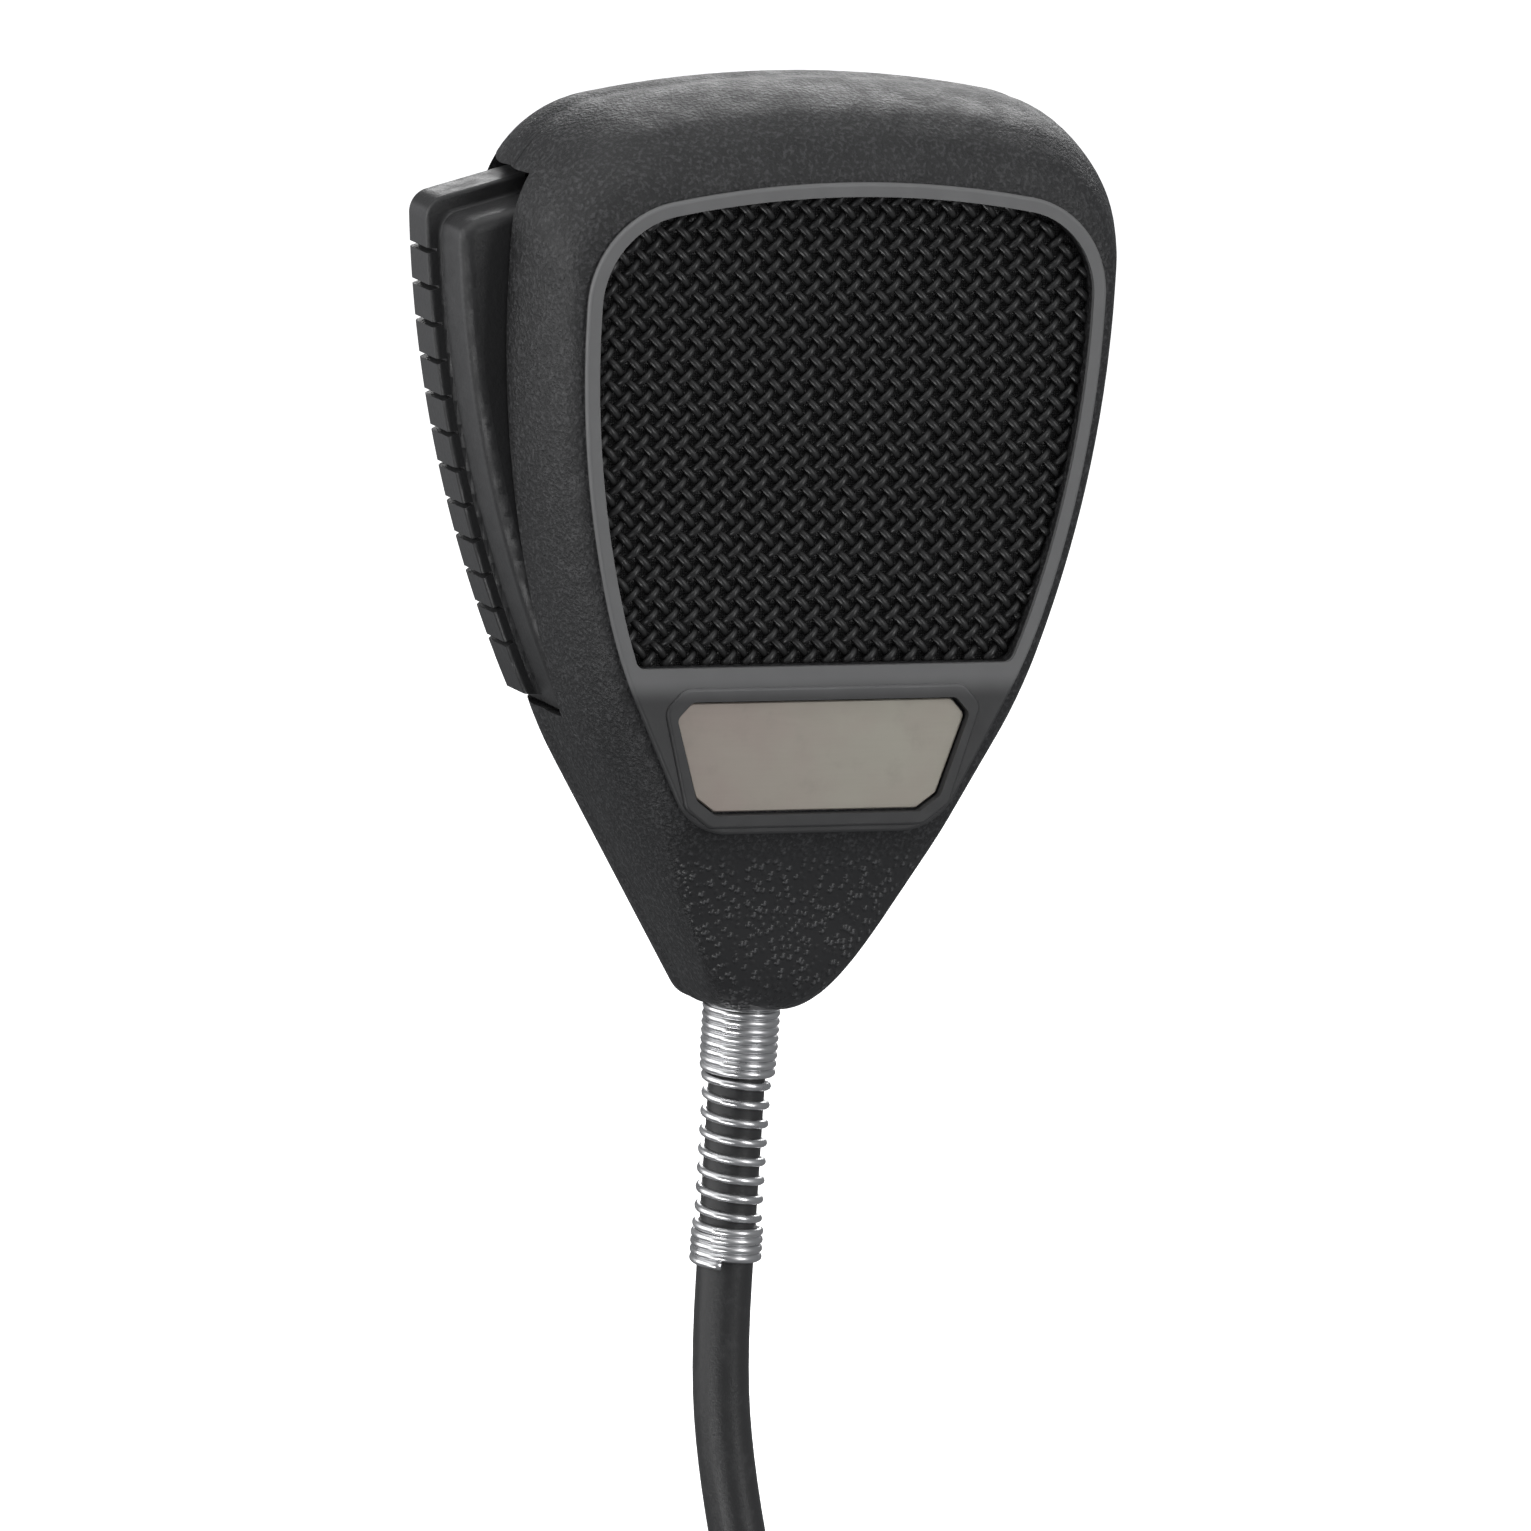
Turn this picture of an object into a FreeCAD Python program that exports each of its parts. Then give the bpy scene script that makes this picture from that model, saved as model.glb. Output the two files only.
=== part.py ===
import FreeCAD, Part
import math
import os
import Sketcher
from FreeCAD import Placement, Rotation, Vector

# Hand microphone with a press-to-talk lever, a spring-armoured cord and a round screw-on plug.
# Millimetres. +Z runs up the case, -Y is the talking side and the lever is on the -X side.
# The pieces are laid out from the bottom end of the case, on its parting plane, and every node is
# then shifted so that the origin is the middle of the hang-up button's stem.

DIMENSIONS = {
    # case outline at the parting plane
    "case_half_width": 32.4, "case_belly_z": 76.0, "case_side_radius": 123.0,
    "case_side_turn": 21.0, "case_bend_radius": 45.0, "case_flank_turn": 32.0,
    "case_top_z": 94.3, "case_top_radius": 120.0, "case_corner_radius": 13.2,
    "case_foot_radius": 3.2,
    # raised front plateau that carries the grille and the nameplate
    "plateau_half_width": 28.3, "plateau_belly_z": 73.2, "plateau_side_radius": 107.0,
    "plateau_side_turn": 17.0, "plateau_bend_radius": 51.0, "plateau_flank_turn": 27.0,
    "plateau_top_z": 86.1, "plateau_top_radius": 110.0, "plateau_corner_radius": 10.5,
    "plateau_bottom_z": 20.2, "plateau_foot_radius": 6.5, "plateau_rise": 0.7,
    # depths of the two shells and the slopes of their lower ends
    "wall": 2.2, "front_depth": 14.0, "rear_depth": 11.5, "rear_straight": 2.5,
    "rear_inset": 7.0, "end_half_depth": 6.5, "front_facet_top_z": 20.6,
    "rear_facet_top_z": 14.0, "facet_wall": 2.33, "front_wall": 1.5, "rear_foot_radius": 2.4,
    "hole_play": 0.15, "boss_front_y": -10.7, "boss_gap": 0.4, "pivot_boss_radius": 2.6,
    "capsule_ring_outer": 17.9, "capsule_ring_inner": 17.3,
    # grille opening
    "rim_width": 1.4, "opening_bottom_z": 37.2, "opening_flank_turn": 20.0,
    "grille_overlap": 0.7, "grille_thickness": 0.6, "grille_hole_radius": 0.8,
    "grille_hole_pitch": 3.7,
    # nameplate
    "plate_bottom_z": 22.5, "plate_top_z": 33.6, "plate_half_top": 16.2,
    "plate_half_bottom": 13.0, "plate_corner": 1.9, "plate_thickness": 0.6,
    "plate_recess": 1.0, "bead_gap": 0.25, "bead_width": 1.35, "bead_rise": 0.35,
    # case screws
    "top_screw_z": 88.5, "low_screw_x": 9.6, "low_screw_z": 17.5, "boss_radius": 2.5,
    "pillar_radius": 3.4, "screw_radius": 1.2, "screw_head_radius": 2.3,
    # hang-up button on the back
    "button_z": 63.0, "stem_radius": 4.75, "stem_length": 4.5, "head_radius": 9.0,
    "head_thickness": 3.0, "stud_radius": 2.0,
    # press-to-talk lever
    "pivot_x": -19.4, "pivot_z": 33.2, "pin_radius": 1.2, "lever_front_y": -3.2,
    "lever_back_y": 8.0, "strip_front_y": 2.2, "strip_back_y": 7.0,
    "crest_centre_x": 94.0, "crest_centre_z": 92.0, "crest_radius": 133.5,
    "strip_rise": 1.5, "strip_top_z": 81.7, "strip_bottom_z": 31.5, "strip_corner": 2.3,
    "shoulder_top_z": 80.2, "lever_bottom_z": 30.7, "shoulder_corner": 2.0,
    "shoulder_round": 1.3, "strip_round": 0.42, "groove_first": 6.6, "groove_turn": 1.63,
    "groove_count": 12, "groove_depth": 1.0, "groove_width": 0.75, "groove_floor": 0.3,
    "slot_clearance": 0.3, "slot_bottom_z": 30.3, "slot_top_z": 85.5, "lever_lean": 15.0,
    "slot_inner_x": -14.0, "slot_edge_x": -30.5,
    # microphone capsule
    "capsule_z": 63.0, "cup_radius": 16.0, "cup_back_y": 3.5, "cup_front_y": -7.0,
    "cup_wall": 1.0, "magnet_radius": 6.0, "pole_radius": 5.2, "coil_radius": 6.0,
    # switch
    "switch_x": -15.1, "switch_z": 42.6, "switch_length": 12.8, "switch_height": 6.5,
    "switch_front_y": -0.5, "switch_back_y": 5.3, "plunger_z": 45.5,
    # cord, armour spring and coil
    "cord_radius": 2.85, "spring_radius": 4.0, "spring_length": 28.3, "spring_inner": 3.1,
    "coil_turn_radius": 33.0, "coil_turns": 8.125, "turn_pitch": 5.8, "coil_centre_x": 2.2,
    "coil_centre_y": 8.0, "coil_centre_z": -120.0, "tie_thickness": 1.2, "tie_turn": 18.0,
    # plug
    "plug_x": 33.4, "plug_y": -9.6, "plug_top_z": -152.0, "sleeve_radius": 7.55,
    "ring_radius": 9.2, "thread_radius": 8.0, "insert_radius": 6.5,
}


def make_sheet(doc):
    """The driving dimensions, one aliased cell each."""
    sheet = doc.addObject("Spreadsheet::Sheet", "Dims")
    for row, (alias, value) in enumerate(DIMENSIONS.items(), start=1):
        sheet.set(f"A{row}", alias)
        sheet.set(f"B{row}", str(value))
        sheet.setAlias(f"B{row}", alias)
    return sheet


class Size:
    """A length that knows both its value and the sheet expression that it comes from."""

    def __init__(self, value, text):
        self.value = value
        self.text = text

    def __add__(self, other):
        other = as_size(other)
        return Size(self.value + other.value, f"({self.text} + {other.text})")

    def __sub__(self, other):
        other = as_size(other)
        return Size(self.value - other.value, f"({self.text} - {other.text})")

    def __mul__(self, other):
        other = as_size(other)
        return Size(self.value * other.value, f"({self.text} * {other.text})")

    def __radd__(self, other):
        return as_size(other) + self

    def __rsub__(self, other):
        return as_size(other) - self

    def __rmul__(self, other):
        return as_size(other) * self

    def __neg__(self):
        return 0 - self


def as_size(number):
    """A plain number as a Size; a Size as it is."""
    return number if isinstance(number, Size) else Size(float(number), f"({number})")


class Sizes:
    """Each driving dimension as a Size, by its alias."""

    def __getattr__(self, alias):
        return Size(DIMENSIONS[alias], f"Dims.{alias}")


doc = FreeCAD.newDocument("hand_microphone")
make_sheet(doc)
doc.recompute()
d = Sizes()
nodes = []
bases = {}
ORIGIN_Y = d.rear_depth + d.stem_length * 0.5
ORIGIN_Z = d.button_z


# ---------------------------------------------------------------- helpers


def bind(thing, prop, size):
    """Set a property from a Size and keep it bound to the sheet."""
    size = as_size(size)
    thing.setExpression(prop, size.text)


def place(thing, base, rotation=None):
    """Place an object at base, bound to the sheet."""
    base = [as_size(b) for b in base]
    turn = rotation or Rotation()
    thing.Placement = Placement(Vector(*(b.value for b in base)), turn)
    for letter, size in zip("xyz", base):
        bind(thing, f"Placement.Base.{letter}", size)
    bases[thing.Name] = (base, turn)


def node(label, thing):
    """Make an object a node: its label names the file, and it is moved into the row frame."""
    base, turn = bases.get(thing.Name, ([as_size(0)] * 3, Rotation()))
    place(thing, (base[0], base[1] - ORIGIN_Y, base[2] - ORIGIN_Z), turn)
    thing.Label = label
    nodes.append(thing)
    return thing


AXIS_TURN = {
    "x": Rotation(Vector(0, 1, 0), 90),
    "y": Rotation(Vector(1, 0, 0), -90),
    "z": Rotation(),
}


def cylinder(name, axis, base, radius, length):
    """A cylinder that starts at base and runs along +axis."""
    made = doc.addObject("Part::Cylinder", name)
    bind(made, "Radius", radius)
    bind(made, "Height", length)
    place(made, base, AXIS_TURN[axis])
    return made


def box(name, low, high):
    """A box between two corners."""
    made = doc.addObject("Part::Box", name)
    for prop, a, b in zip(("Length", "Width", "Height"), low, high):
        bind(made, prop, as_size(b) - a)
    place(made, low)
    return made


def fuse(name, *pieces):
    made = doc.addObject("Part::MultiFuse", name)
    made.Shapes = list(pieces)
    return made


def cut(name, base, *tools):
    made = doc.addObject("Part::Cut", name)
    made.Base = base
    made.Tool = tools[0] if len(tools) == 1 else fuse(name + "_tools", *tools)
    return made


def group(name, *pieces):
    made = doc.addObject("Part::Compound", name)
    made.Links = list(pieces)
    return made


def feature(name, shape):
    """A shape made in code from the sheet's sizes."""
    made = doc.addObject("Part::Feature", name)
    made.Shape = shape
    return made


def body(name):
    return doc.addObject("PartDesign::Body", name)


def sketch_on(owner, name, role, offset):
    """A sketch on one of a body's origin planes, shifted by offset in the plane's own axes."""
    made = owner.newObject("Sketcher::SketchObject", name)
    plane = next(f for f in owner.Origin.OriginFeatures if f.Role == role)
    made.AttachmentSupport = (plane, "")
    made.MapMode = "FlatFace"
    for letter, size in zip("xyz", offset):
        bind(made, f"AttachmentOffset.Base.{letter}", size)
    return made


def fix_point(sketch, edge, end, point):
    """Tie a vertex of the sketch to its two coordinates."""
    for kind, size in zip(("DistanceX", "DistanceY"), point):
        size = as_size(size)
        index = sketch.addConstraint(Sketcher.Constraint(kind, edge, end, size.value))
        sketch.setExpression(f"Constraints[{index}]", size.text)


def add_polygon(sketch, corners):
    """A closed polygon with every corner tied to the sheet."""
    flat = [Vector(as_size(x).value, as_size(y).value, 0) for x, y in corners]
    first = sketch.GeometryCount
    for a, b in zip(flat, flat[1:] + flat[:1]):
        sketch.addGeometry(Part.LineSegment(a, b), False)
    count = len(flat)
    for i in range(count):
        j = first + (i + 1) % count
        sketch.addConstraint(Sketcher.Constraint("Coincident", first + i, 2, j, 1))
        fix_point(sketch, first + i, 1, corners[i])


def add_circle(sketch, centre, radius):
    """A circle tied to the sheet."""
    x, y = (as_size(c) for c in centre)
    radius = as_size(radius)
    circle = Part.Circle(Vector(x.value, y.value, 0), Vector(0, 0, 1), radius.value)
    edge = sketch.addGeometry(circle, False)
    fix_point(sketch, edge, 3, (x, y))
    index = sketch.addConstraint(Sketcher.Constraint("Radius", edge, radius.value))
    sketch.setExpression(f"Constraints[{index}]", radius.text)


def pad(owner, sketch, length, name):
    made = owner.newObject("PartDesign::Pad", name)
    made.Profile = sketch
    bind(made, "Length", length)
    return made


def pocket(owner, sketch, length, name, reversed_way=False):
    made = owner.newObject("PartDesign::Pocket", name)
    made.Profile = sketch
    bind(made, "Length", length)
    made.Reversed = reversed_way
    return made


def plate(name, corners, low_y, high_y, holes=()):
    """A flat piece parallel to the parting plane, from corners (x, z) and round holes (x, z, r)."""
    owner = body(name)
    outline = sketch_on(owner, name + "_outline", "XZ_Plane", (0, 0, -as_size(high_y)))
    add_polygon(outline, corners)
    for x, z, radius in holes:
        add_circle(outline, (x, z), radius)
    pad(owner, outline, as_size(high_y) - low_y, name + "_pad")
    return owner


TURNED = {
    "x": ("XY_Plane", "H_Axis", lambda c: (0, c[1], c[2]), lambda p: p),
    "y": ("YZ_Plane", "H_Axis", lambda c: (0, c[2], c[0]), lambda p: p),
    "z": ("XZ_Plane", "V_Axis", lambda c: (c[0], 0, -as_size(c[1])), lambda p: (p[1], p[0])),
}


def turned(name, axis, centre, profile, angle=360):
    """A turned piece: profile lists (place along the axis, radius)."""
    role, spin, offset, corner = TURNED[axis]
    owner = body(name)
    section = sketch_on(owner, name + "_section", role, offset(centre))
    add_polygon(section, [corner(p) for p in profile])
    made = owner.newObject("PartDesign::Revolution", name + "_turn")
    made.Profile = section
    made.ReferenceAxis = (section, [spin])
    made.Angle = angle
    made.Midplane = angle < 360
    return owner


def ring_profile(start, stop, inner, outer):
    """The four corners of a plain ring's section."""
    return [(start, inner), (stop, inner), (stop, outer), (start, outer)]


def screw(name, axis, base, head, shank):
    """A slotted screw whose head, (radius, length), sits at base and whose shank runs on."""
    x, y, z = (as_size(b) for b in base)
    step = {"x": (1, 0, 0), "y": (0, 1, 0), "z": (0, 0, 1)}[axis[-1]]
    way = -1 if axis[0] == "-" else 1
    head_radius, head_length = (as_size(v) for v in head)
    shank_radius, shank_length = (as_size(v) for v in shank)

    def along(distance):
        return tuple(p + distance * (way * k) for p, k in zip((x, y, z), step))

    def rod(part, start, radius, length):
        at = along(start) if way > 0 else along(start + length)
        return cylinder(f"{name}_{part}", axis[-1], at, radius, length)

    half = head_radius * 0.16
    blade = [-half if k == 0 else as_size(0) for k in step]
    long_side = step.index(0)
    blade[long_side] = -head_radius
    reach = [-b for b in blade]
    depth = head_length * 0.5
    at = along(0)
    low = [p + b for p, b in zip(at, blade)]
    high = [p + b for p, b in zip(at, reach)]
    k = step.index(1)
    low[k] = at[k] if way > 0 else at[k] - depth
    high[k] = at[k] + depth if way > 0 else at[k]
    solid = fuse(
        f"{name}_blank",
        rod("head", as_size(0), head_radius, head_length),
        rod("shank", head_length, shank_radius, shank_length),
    )
    return cut(name, solid, box(f"{name}_slot", low, high))


# ---------------------------------------------------------------- case shells


def outline(y, p):
    """The closed outline of the case at depth y: straight foot, flanks, sides, corners and top."""
    side = math.radians(p["side_turn"])
    flank = math.radians(p["flank_turn"])
    belly_x = p["half_width"] - p["side_radius"]
    bend_from = (belly_x + p["side_radius"] * math.cos(side),
                 p["belly_z"] - p["side_radius"] * math.sin(side))
    bend_x = bend_from[0] - p["bend_radius"] * math.cos(side)
    bend_z = bend_from[1] + p["bend_radius"] * math.sin(side)
    corner_x = p["half_width"] - p["corner_radius"]
    crown_z = p["top_z"] - p["top_radius"]
    reach = p["top_radius"] - p["corner_radius"]
    corner_z = crown_z + math.sqrt(reach ** 2 - corner_x ** 2)
    crown = math.atan2(corner_x, corner_z - crown_z)

    def on_side(turn):
        return (belly_x + p["side_radius"] * math.cos(turn),
                p["belly_z"] - p["side_radius"] * math.sin(turn))

    def on_bend(turn):
        return (bend_x + p["bend_radius"] * math.cos(turn),
                bend_z - p["bend_radius"] * math.sin(turn))

    def on_corner(turn):
        return (corner_x + p["corner_radius"] * math.cos(turn),
                corner_z + p["corner_radius"] * math.sin(turn))

    low = on_bend(flank)
    foot_x = low[0] - (low[1] - p["bottom_z"]) * math.tan(flank)
    foot = p["foot_radius"]
    tangent = foot * math.tan((math.pi / 2 - flank) / 2)
    flank_end = (foot_x + tangent * math.sin(flank), p["bottom_z"] + tangent * math.cos(flank))
    foot_end = (foot_x - tangent, p["bottom_z"])
    half_way = (math.pi / 2 + flank) / 2
    foot_mid = (foot_end[0] + foot * math.cos(half_way),
                p["bottom_z"] + foot - foot * math.sin(half_way))
    quarter = math.pi / 2 - crown
    right = [
        ("arc", foot_end, foot_mid, flank_end),
        ("line", flank_end, low),
        ("arc", low, on_bend((side + flank) / 2), on_bend(side)),
        ("arc", on_bend(side), on_side(side / 2), on_side(0)),
        ("line", on_side(0), on_corner(0)),
        ("arc", on_corner(0), on_corner(quarter / 2), on_corner(quarter)),
    ]
    top = ("arc", on_corner(quarter), (0, p["top_z"]), (-on_corner(quarter)[0],
                                                       on_corner(quarter)[1]))
    left = [
        (kind, *[(-x, z) for x, z in reversed(points)]) for kind, *points in reversed(right)
    ]
    base = ("line", (-foot_end[0], p["bottom_z"]), foot_end)
    edges = []
    for kind, *points in [base, *right, top, *left]:
        places = [Vector(x, y, z) for x, z in points]
        curve = Part.Arc(*places) if kind == "arc" else Part.LineSegment(*places)
        edges.append(curve.toShape())
    return Part.Wire(edges)


def case_sizes():
    names = ("half_width", "belly_z", "side_radius", "side_turn", "bend_radius", "flank_turn",
             "top_z", "top_radius", "corner_radius", "foot_radius")
    return {n: DIMENSIONS["case_" + n] for n in names} | {"bottom_z": 0.0}


def plateau_sizes():
    return {n: DIMENSIONS["plateau_" + n] for n in case_sizes()}


def drawn_in(p, inset):
    """The outline's sizes moved inwards by inset all round."""
    q = dict(p)
    for name in ("half_width", "side_radius", "bend_radius", "top_z", "top_radius"):
        q[name] -= inset
    q["corner_radius"] = max(p["corner_radius"] - inset, 1.0)
    q["foot_radius"] = max(p["foot_radius"] - inset, 0.8)
    q["bottom_z"] += inset
    return q


def between(p, q, share):
    return {name: p[name] + (q[name] - p[name]) * share for name in p}


def dished(base, cap, depth, straight, way, facet):
    """A solid whose outline shrinks from base to cap on an elliptical curve, going way (+1, -1)."""
    levels = [(0.0, 0.0)] + ([(straight, 0.0)] if straight else [])
    for step in range(1, 7):
        turn = math.radians(15 * step)
        levels.append((straight + (depth - straight) * math.sin(turn), 1 - math.cos(turn)))
    wires = []
    for reach, share in levels:
        sizes = between(base, cap, share)
        sizes["bottom_z"] = facet(reach)
        rounding = min(reach / DIMENSIONS["end_half_depth"], 1.0)
        sizes["foot_radius"] = between(base, cap, rounding)["foot_radius"]
        wires.append(outline(way * reach, sizes))
    return Part.makeLoft(wires, True, False)


def facet_line(start, slope, floor, ceiling):
    """How high the foot of the outline has risen at a depth, on the sloping end facet."""
    return lambda reach: min(max((reach - start) * slope, floor), ceiling)


def rod_y(x, z, radius, low, high):
    return Part.makeCylinder(radius, high - low, Vector(x, low, z), Vector(0, 1, 0))


def slab(points, low, high):
    """A straight prism along Y with an (x, z) outline."""
    places = [Vector(x, low, z) for x, z in points]
    return Part.Face(Part.makePolygon(places + places[:1])).extrude(Vector(0, high - low, 0))


def prism_of(wire, length):
    return Part.Face(wire).extrude(Vector(0, length, 0))


def screw_places():
    x, z = DIMENSIONS["low_screw_x"], DIMENSIONS["low_screw_z"]
    return [(0.0, DIMENSIONS["top_screw_z"]), (x, z), (-x, z)]


def lever_slot(low, high):
    """The gap in the case wall that the lever works in, its top sloping with the lever's."""
    g = DIMENSIONS
    slope = math.tan(math.radians(g["lever_lean"]))
    inside, edge = g["slot_inner_x"], g["slot_edge_x"]
    outside = 2 * edge
    top, bottom = g["slot_top_z"], g["slot_bottom_z"]
    return slab([(outside, bottom), (inside, bottom), (inside, top + (inside - edge) * slope),
                 (outside, top + (outside - edge) * slope)], low, high)


def opening_sizes(grow=0.0):
    """The grille opening's outline; grow widens it for the pieces that lie behind it."""
    sizes = drawn_in(plateau_sizes(), DIMENSIONS["rim_width"] - grow)
    sizes["flank_turn"] = DIMENSIONS["opening_flank_turn"]
    sizes["bottom_z"] = DIMENSIONS["opening_bottom_z"] - grow
    sizes["foot_radius"] = 1.2
    return sizes


def trapezium(grow):
    """The nameplate's outline with cut corners, grown by a margin."""
    low, high = DIMENSIONS["plate_bottom_z"] - grow, DIMENSIONS["plate_top_z"] + grow
    wide = DIMENSIONS["plate_half_top"] + grow
    narrow = DIMENSIONS["plate_half_bottom"] + grow * 0.75
    corner = DIMENSIONS["plate_corner"] + grow * 0.4
    lean = (wide - narrow) / (high - low)
    right = [(narrow - corner, low), (narrow + corner * 0.35 * lean, low + corner * 0.8),
             (wide - corner * 0.75 * lean, high - corner * 0.85), (wide - corner, high)]
    return right + [(-x, z) for x, z in reversed(right)]


def rounded_slab(points, low, high, radius):
    """A prism with its upright edges rounded."""
    solid = slab(points, low, high)
    upright = [e for e in solid.Edges if abs(e.tangentAt(e.FirstParameter).y) > 0.99]
    return solid.makeFillet(radius, upright)


def edges_at(shape, y, spread=0.02):
    """The edges of a shape that lie wholly at one depth."""
    return [e for e in shape.Edges if abs(e.BoundBox.YMin - y) < spread
            and abs(e.BoundBox.YMax - y) < spread]


def front_shell():
    """Front shell: shouldered cover with the raised plateau, grille opening and screw bosses."""
    g = DIMENSIONS
    slope = g["front_facet_top_z"] / (g["front_depth"] - g["plateau_rise"] - g["end_half_depth"])
    outer = dished(case_sizes(), plateau_sizes(), g["front_depth"], 0.0, -1,
                   facet_line(g["end_half_depth"], slope, 0.0, g["plateau_bottom_z"]))
    cavity_cap = drawn_in(plateau_sizes(), 0.3)
    cavity = dished(drawn_in(case_sizes(), g["wall"]), cavity_cap,
                    g["front_depth"] - g["front_wall"], 0.0, -1,
                    facet_line(g["end_half_depth"] - g["facet_wall"], slope, g["wall"], 25.0))
    face_y = -g["front_depth"] - g["plateau_rise"]
    raised = prism_of(outline(face_y, plateau_sizes()), 2.4)
    raised = raised.makeFillet(0.35, edges_at(raised, face_y))
    shell = outer.fuse(raised).cut(cavity)
    shell = shell.cut(prism_of(outline(face_y - 1, opening_sizes()), 6))
    bead = rounded_slab(trapezium(g["bead_gap"] + g["bead_width"]), face_y - g["bead_rise"],
                        face_y + 0.5, 1.6)
    bead = bead.makeFillet(0.3, edges_at(bead, face_y - g["bead_rise"]))
    recess = rounded_slab(trapezium(g["bead_gap"]), face_y - 1, face_y + g["plate_recess"], 0.9)
    bosses = [rod_y(x, z, g["boss_radius"], g["boss_front_y"], -g["boss_gap"])
              for x, z in screw_places()]
    bosses.append(rod_y(g["pivot_x"], g["pivot_z"], g["pivot_boss_radius"], g["boss_front_y"] - 1.1,
                        g["lever_front_y"] - g["slot_clearance"]))
    shell = shell.fuse([bead, *bosses]).cut(recess)
    holes = [rod_y(x, z, g["screw_radius"] + 0.05, -9.0, 0.0) for x, z in screw_places()]
    holes.append(rod_y(g["pivot_x"], g["pivot_z"], g["pin_radius"] + 0.02, -6.5, 0.0))
    holes.append(Part.makeCylinder(g["spring_radius"] + 0.1, 5, Vector(0, 0, -1)))
    holes.append(lever_slot(g["lever_front_y"] - g["slot_clearance"], 1.0))
    return shell.cut(holes).removeSplitter()


def rear_shell():
    """Rear shell: rounded back with pillars for the screws, the capsule and the switch."""
    g = DIMENSIONS
    depth, straight = g["rear_depth"], g["rear_straight"]
    slope = g["rear_facet_top_z"] / (depth - g["end_half_depth"])
    back = drawn_in(case_sizes(), g["rear_inset"])
    back["foot_radius"] = g["rear_foot_radius"]
    outer = dished(case_sizes(), back, depth, straight, 1,
                   facet_line(g["end_half_depth"], slope, 0.0, g["rear_facet_top_z"]))
    inside = drawn_in(case_sizes(), g["wall"])
    cavity_back = drawn_in(case_sizes(), g["rear_inset"])
    cavity_back["foot_radius"] = 1.6
    cavity = dished(inside, cavity_back, depth - g["wall"], straight, 1,
                    facet_line(g["end_half_depth"] - g["facet_wall"], slope, g["wall"], 17.0))
    shell = outer.cut(cavity)
    floor_y = depth - g["wall"]
    posts = [rod_y(x, z, g["pillar_radius"], -0.3, floor_y + 0.5) for x, z in screw_places()]
    posts += [rod_y(x, z, 2.2, g["cup_front_y"] - 0.85, floor_y + 0.5)
              for x, z in retainer_places()]
    posts += [rod_y(x, z, 2.0, 6.2, floor_y + 0.5) for x, z in switch_places()]
    posts += [rod_y(x, z, 1.9, 4.6, floor_y + 0.5) for x, z in board_places()]
    posts += [rod_y(x, z, 1.9, 3.1, floor_y + 0.5) for x, z in clamp_places()]
    ring = rod_y(0, g["capsule_z"], g["capsule_ring_outer"], -0.5, floor_y + 0.5)
    ring = ring.cut([rod_y(0, g["capsule_z"], g["capsule_ring_inner"], -1.0, floor_y + 0.1),
                     slab([(-5, 42), (5, 42), (5, 48), (-5, 48)], -1.0, floor_y)])
    posts.append(rod_y(g["pivot_x"], g["pivot_z"], g["pivot_boss_radius"],
                       g["lever_back_y"] + g["slot_clearance"], floor_y + 0.5))
    shell = shell.fuse([ring, *posts])
    play = g["hole_play"]
    holes = [rod_y(x, z, g["screw_radius"] + play, -1.0, depth) for x, z in screw_places()]
    holes += [rod_y(x, z, g["screw_head_radius"] + play, 8.6, depth + 1)
              for x, z in screw_places()]
    holes += [rod_y(x, z, 0.95, -8.5, 4.0) for x, z in retainer_places()]
    holes += [rod_y(x, z, 0.85, 6.0, 9.0) for x, z in switch_places()]
    holes += [rod_y(x, z, 0.85, 2.5, 8.5) for x, z in (*board_places(), *clamp_places())]
    holes.append(rod_y(0, g["button_z"], g["stud_radius"] + 0.05, 8.0, depth + 1))
    holes.append(rod_y(g["pivot_x"], g["pivot_z"], g["pin_radius"] + 0.02, 8.0, 10.0))
    holes.append(Part.makeCylinder(g["spring_radius"] + 0.1, 5, Vector(0, 0, -1)))
    holes.append(lever_slot(-1.0, g["lever_back_y"] + g["slot_clearance"]))
    return shell.cut(holes).removeSplitter()


def retainer_places():
    """The two pillars that hold the capsule's retaining ring."""
    reach = 20.0 * math.sin(math.radians(45))
    z = DIMENSIONS["capsule_z"]
    return [(-reach, z + reach), (reach, z - reach)]


def switch_places():
    x, z = DIMENSIONS["switch_x"], DIMENSIONS["switch_z"]
    return [(x, z - 3.3), (x, z + 3.3)]


def board_places():
    return [(-6.5, 27.5), (6.5, 27.5)]


def clamp_places():
    return [(-5.6, 11.5), (5.6, 11.5)]


# ---------------------------------------------------------------- front pieces


def grille():
    """Grille panel behind the opening, pierced for sound."""
    g = DIMENSIONS
    back_y = -g["front_depth"] + 1.5 + 0.05 + g["grille_thickness"]
    panel = prism_of(outline(back_y - g["grille_thickness"],
                             opening_sizes(g["grille_overlap"])), g["grille_thickness"])
    pitch, middle_z = g["grille_hole_pitch"], 61.0
    holes = []
    for i in range(-6, 7):
        for j in range(-6, 7):
            x, z = i * pitch, middle_z + j * pitch
            edge = 94.0 * (z - 30.0) / 160.0 + 5.5
            if abs(x) < min(edge, 22.6) and z < 83.5:
                holes.append(rod_y(x, z, g["grille_hole_radius"], back_y - 2, back_y + 1))
    return panel.cut(Part.makeCompound(holes))


def grille_cloth():
    """Thin sound-transparent cloth stretched behind the grille."""
    return prism_of(outline(-11.8, opening_sizes(0.6)), 0.5)


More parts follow.
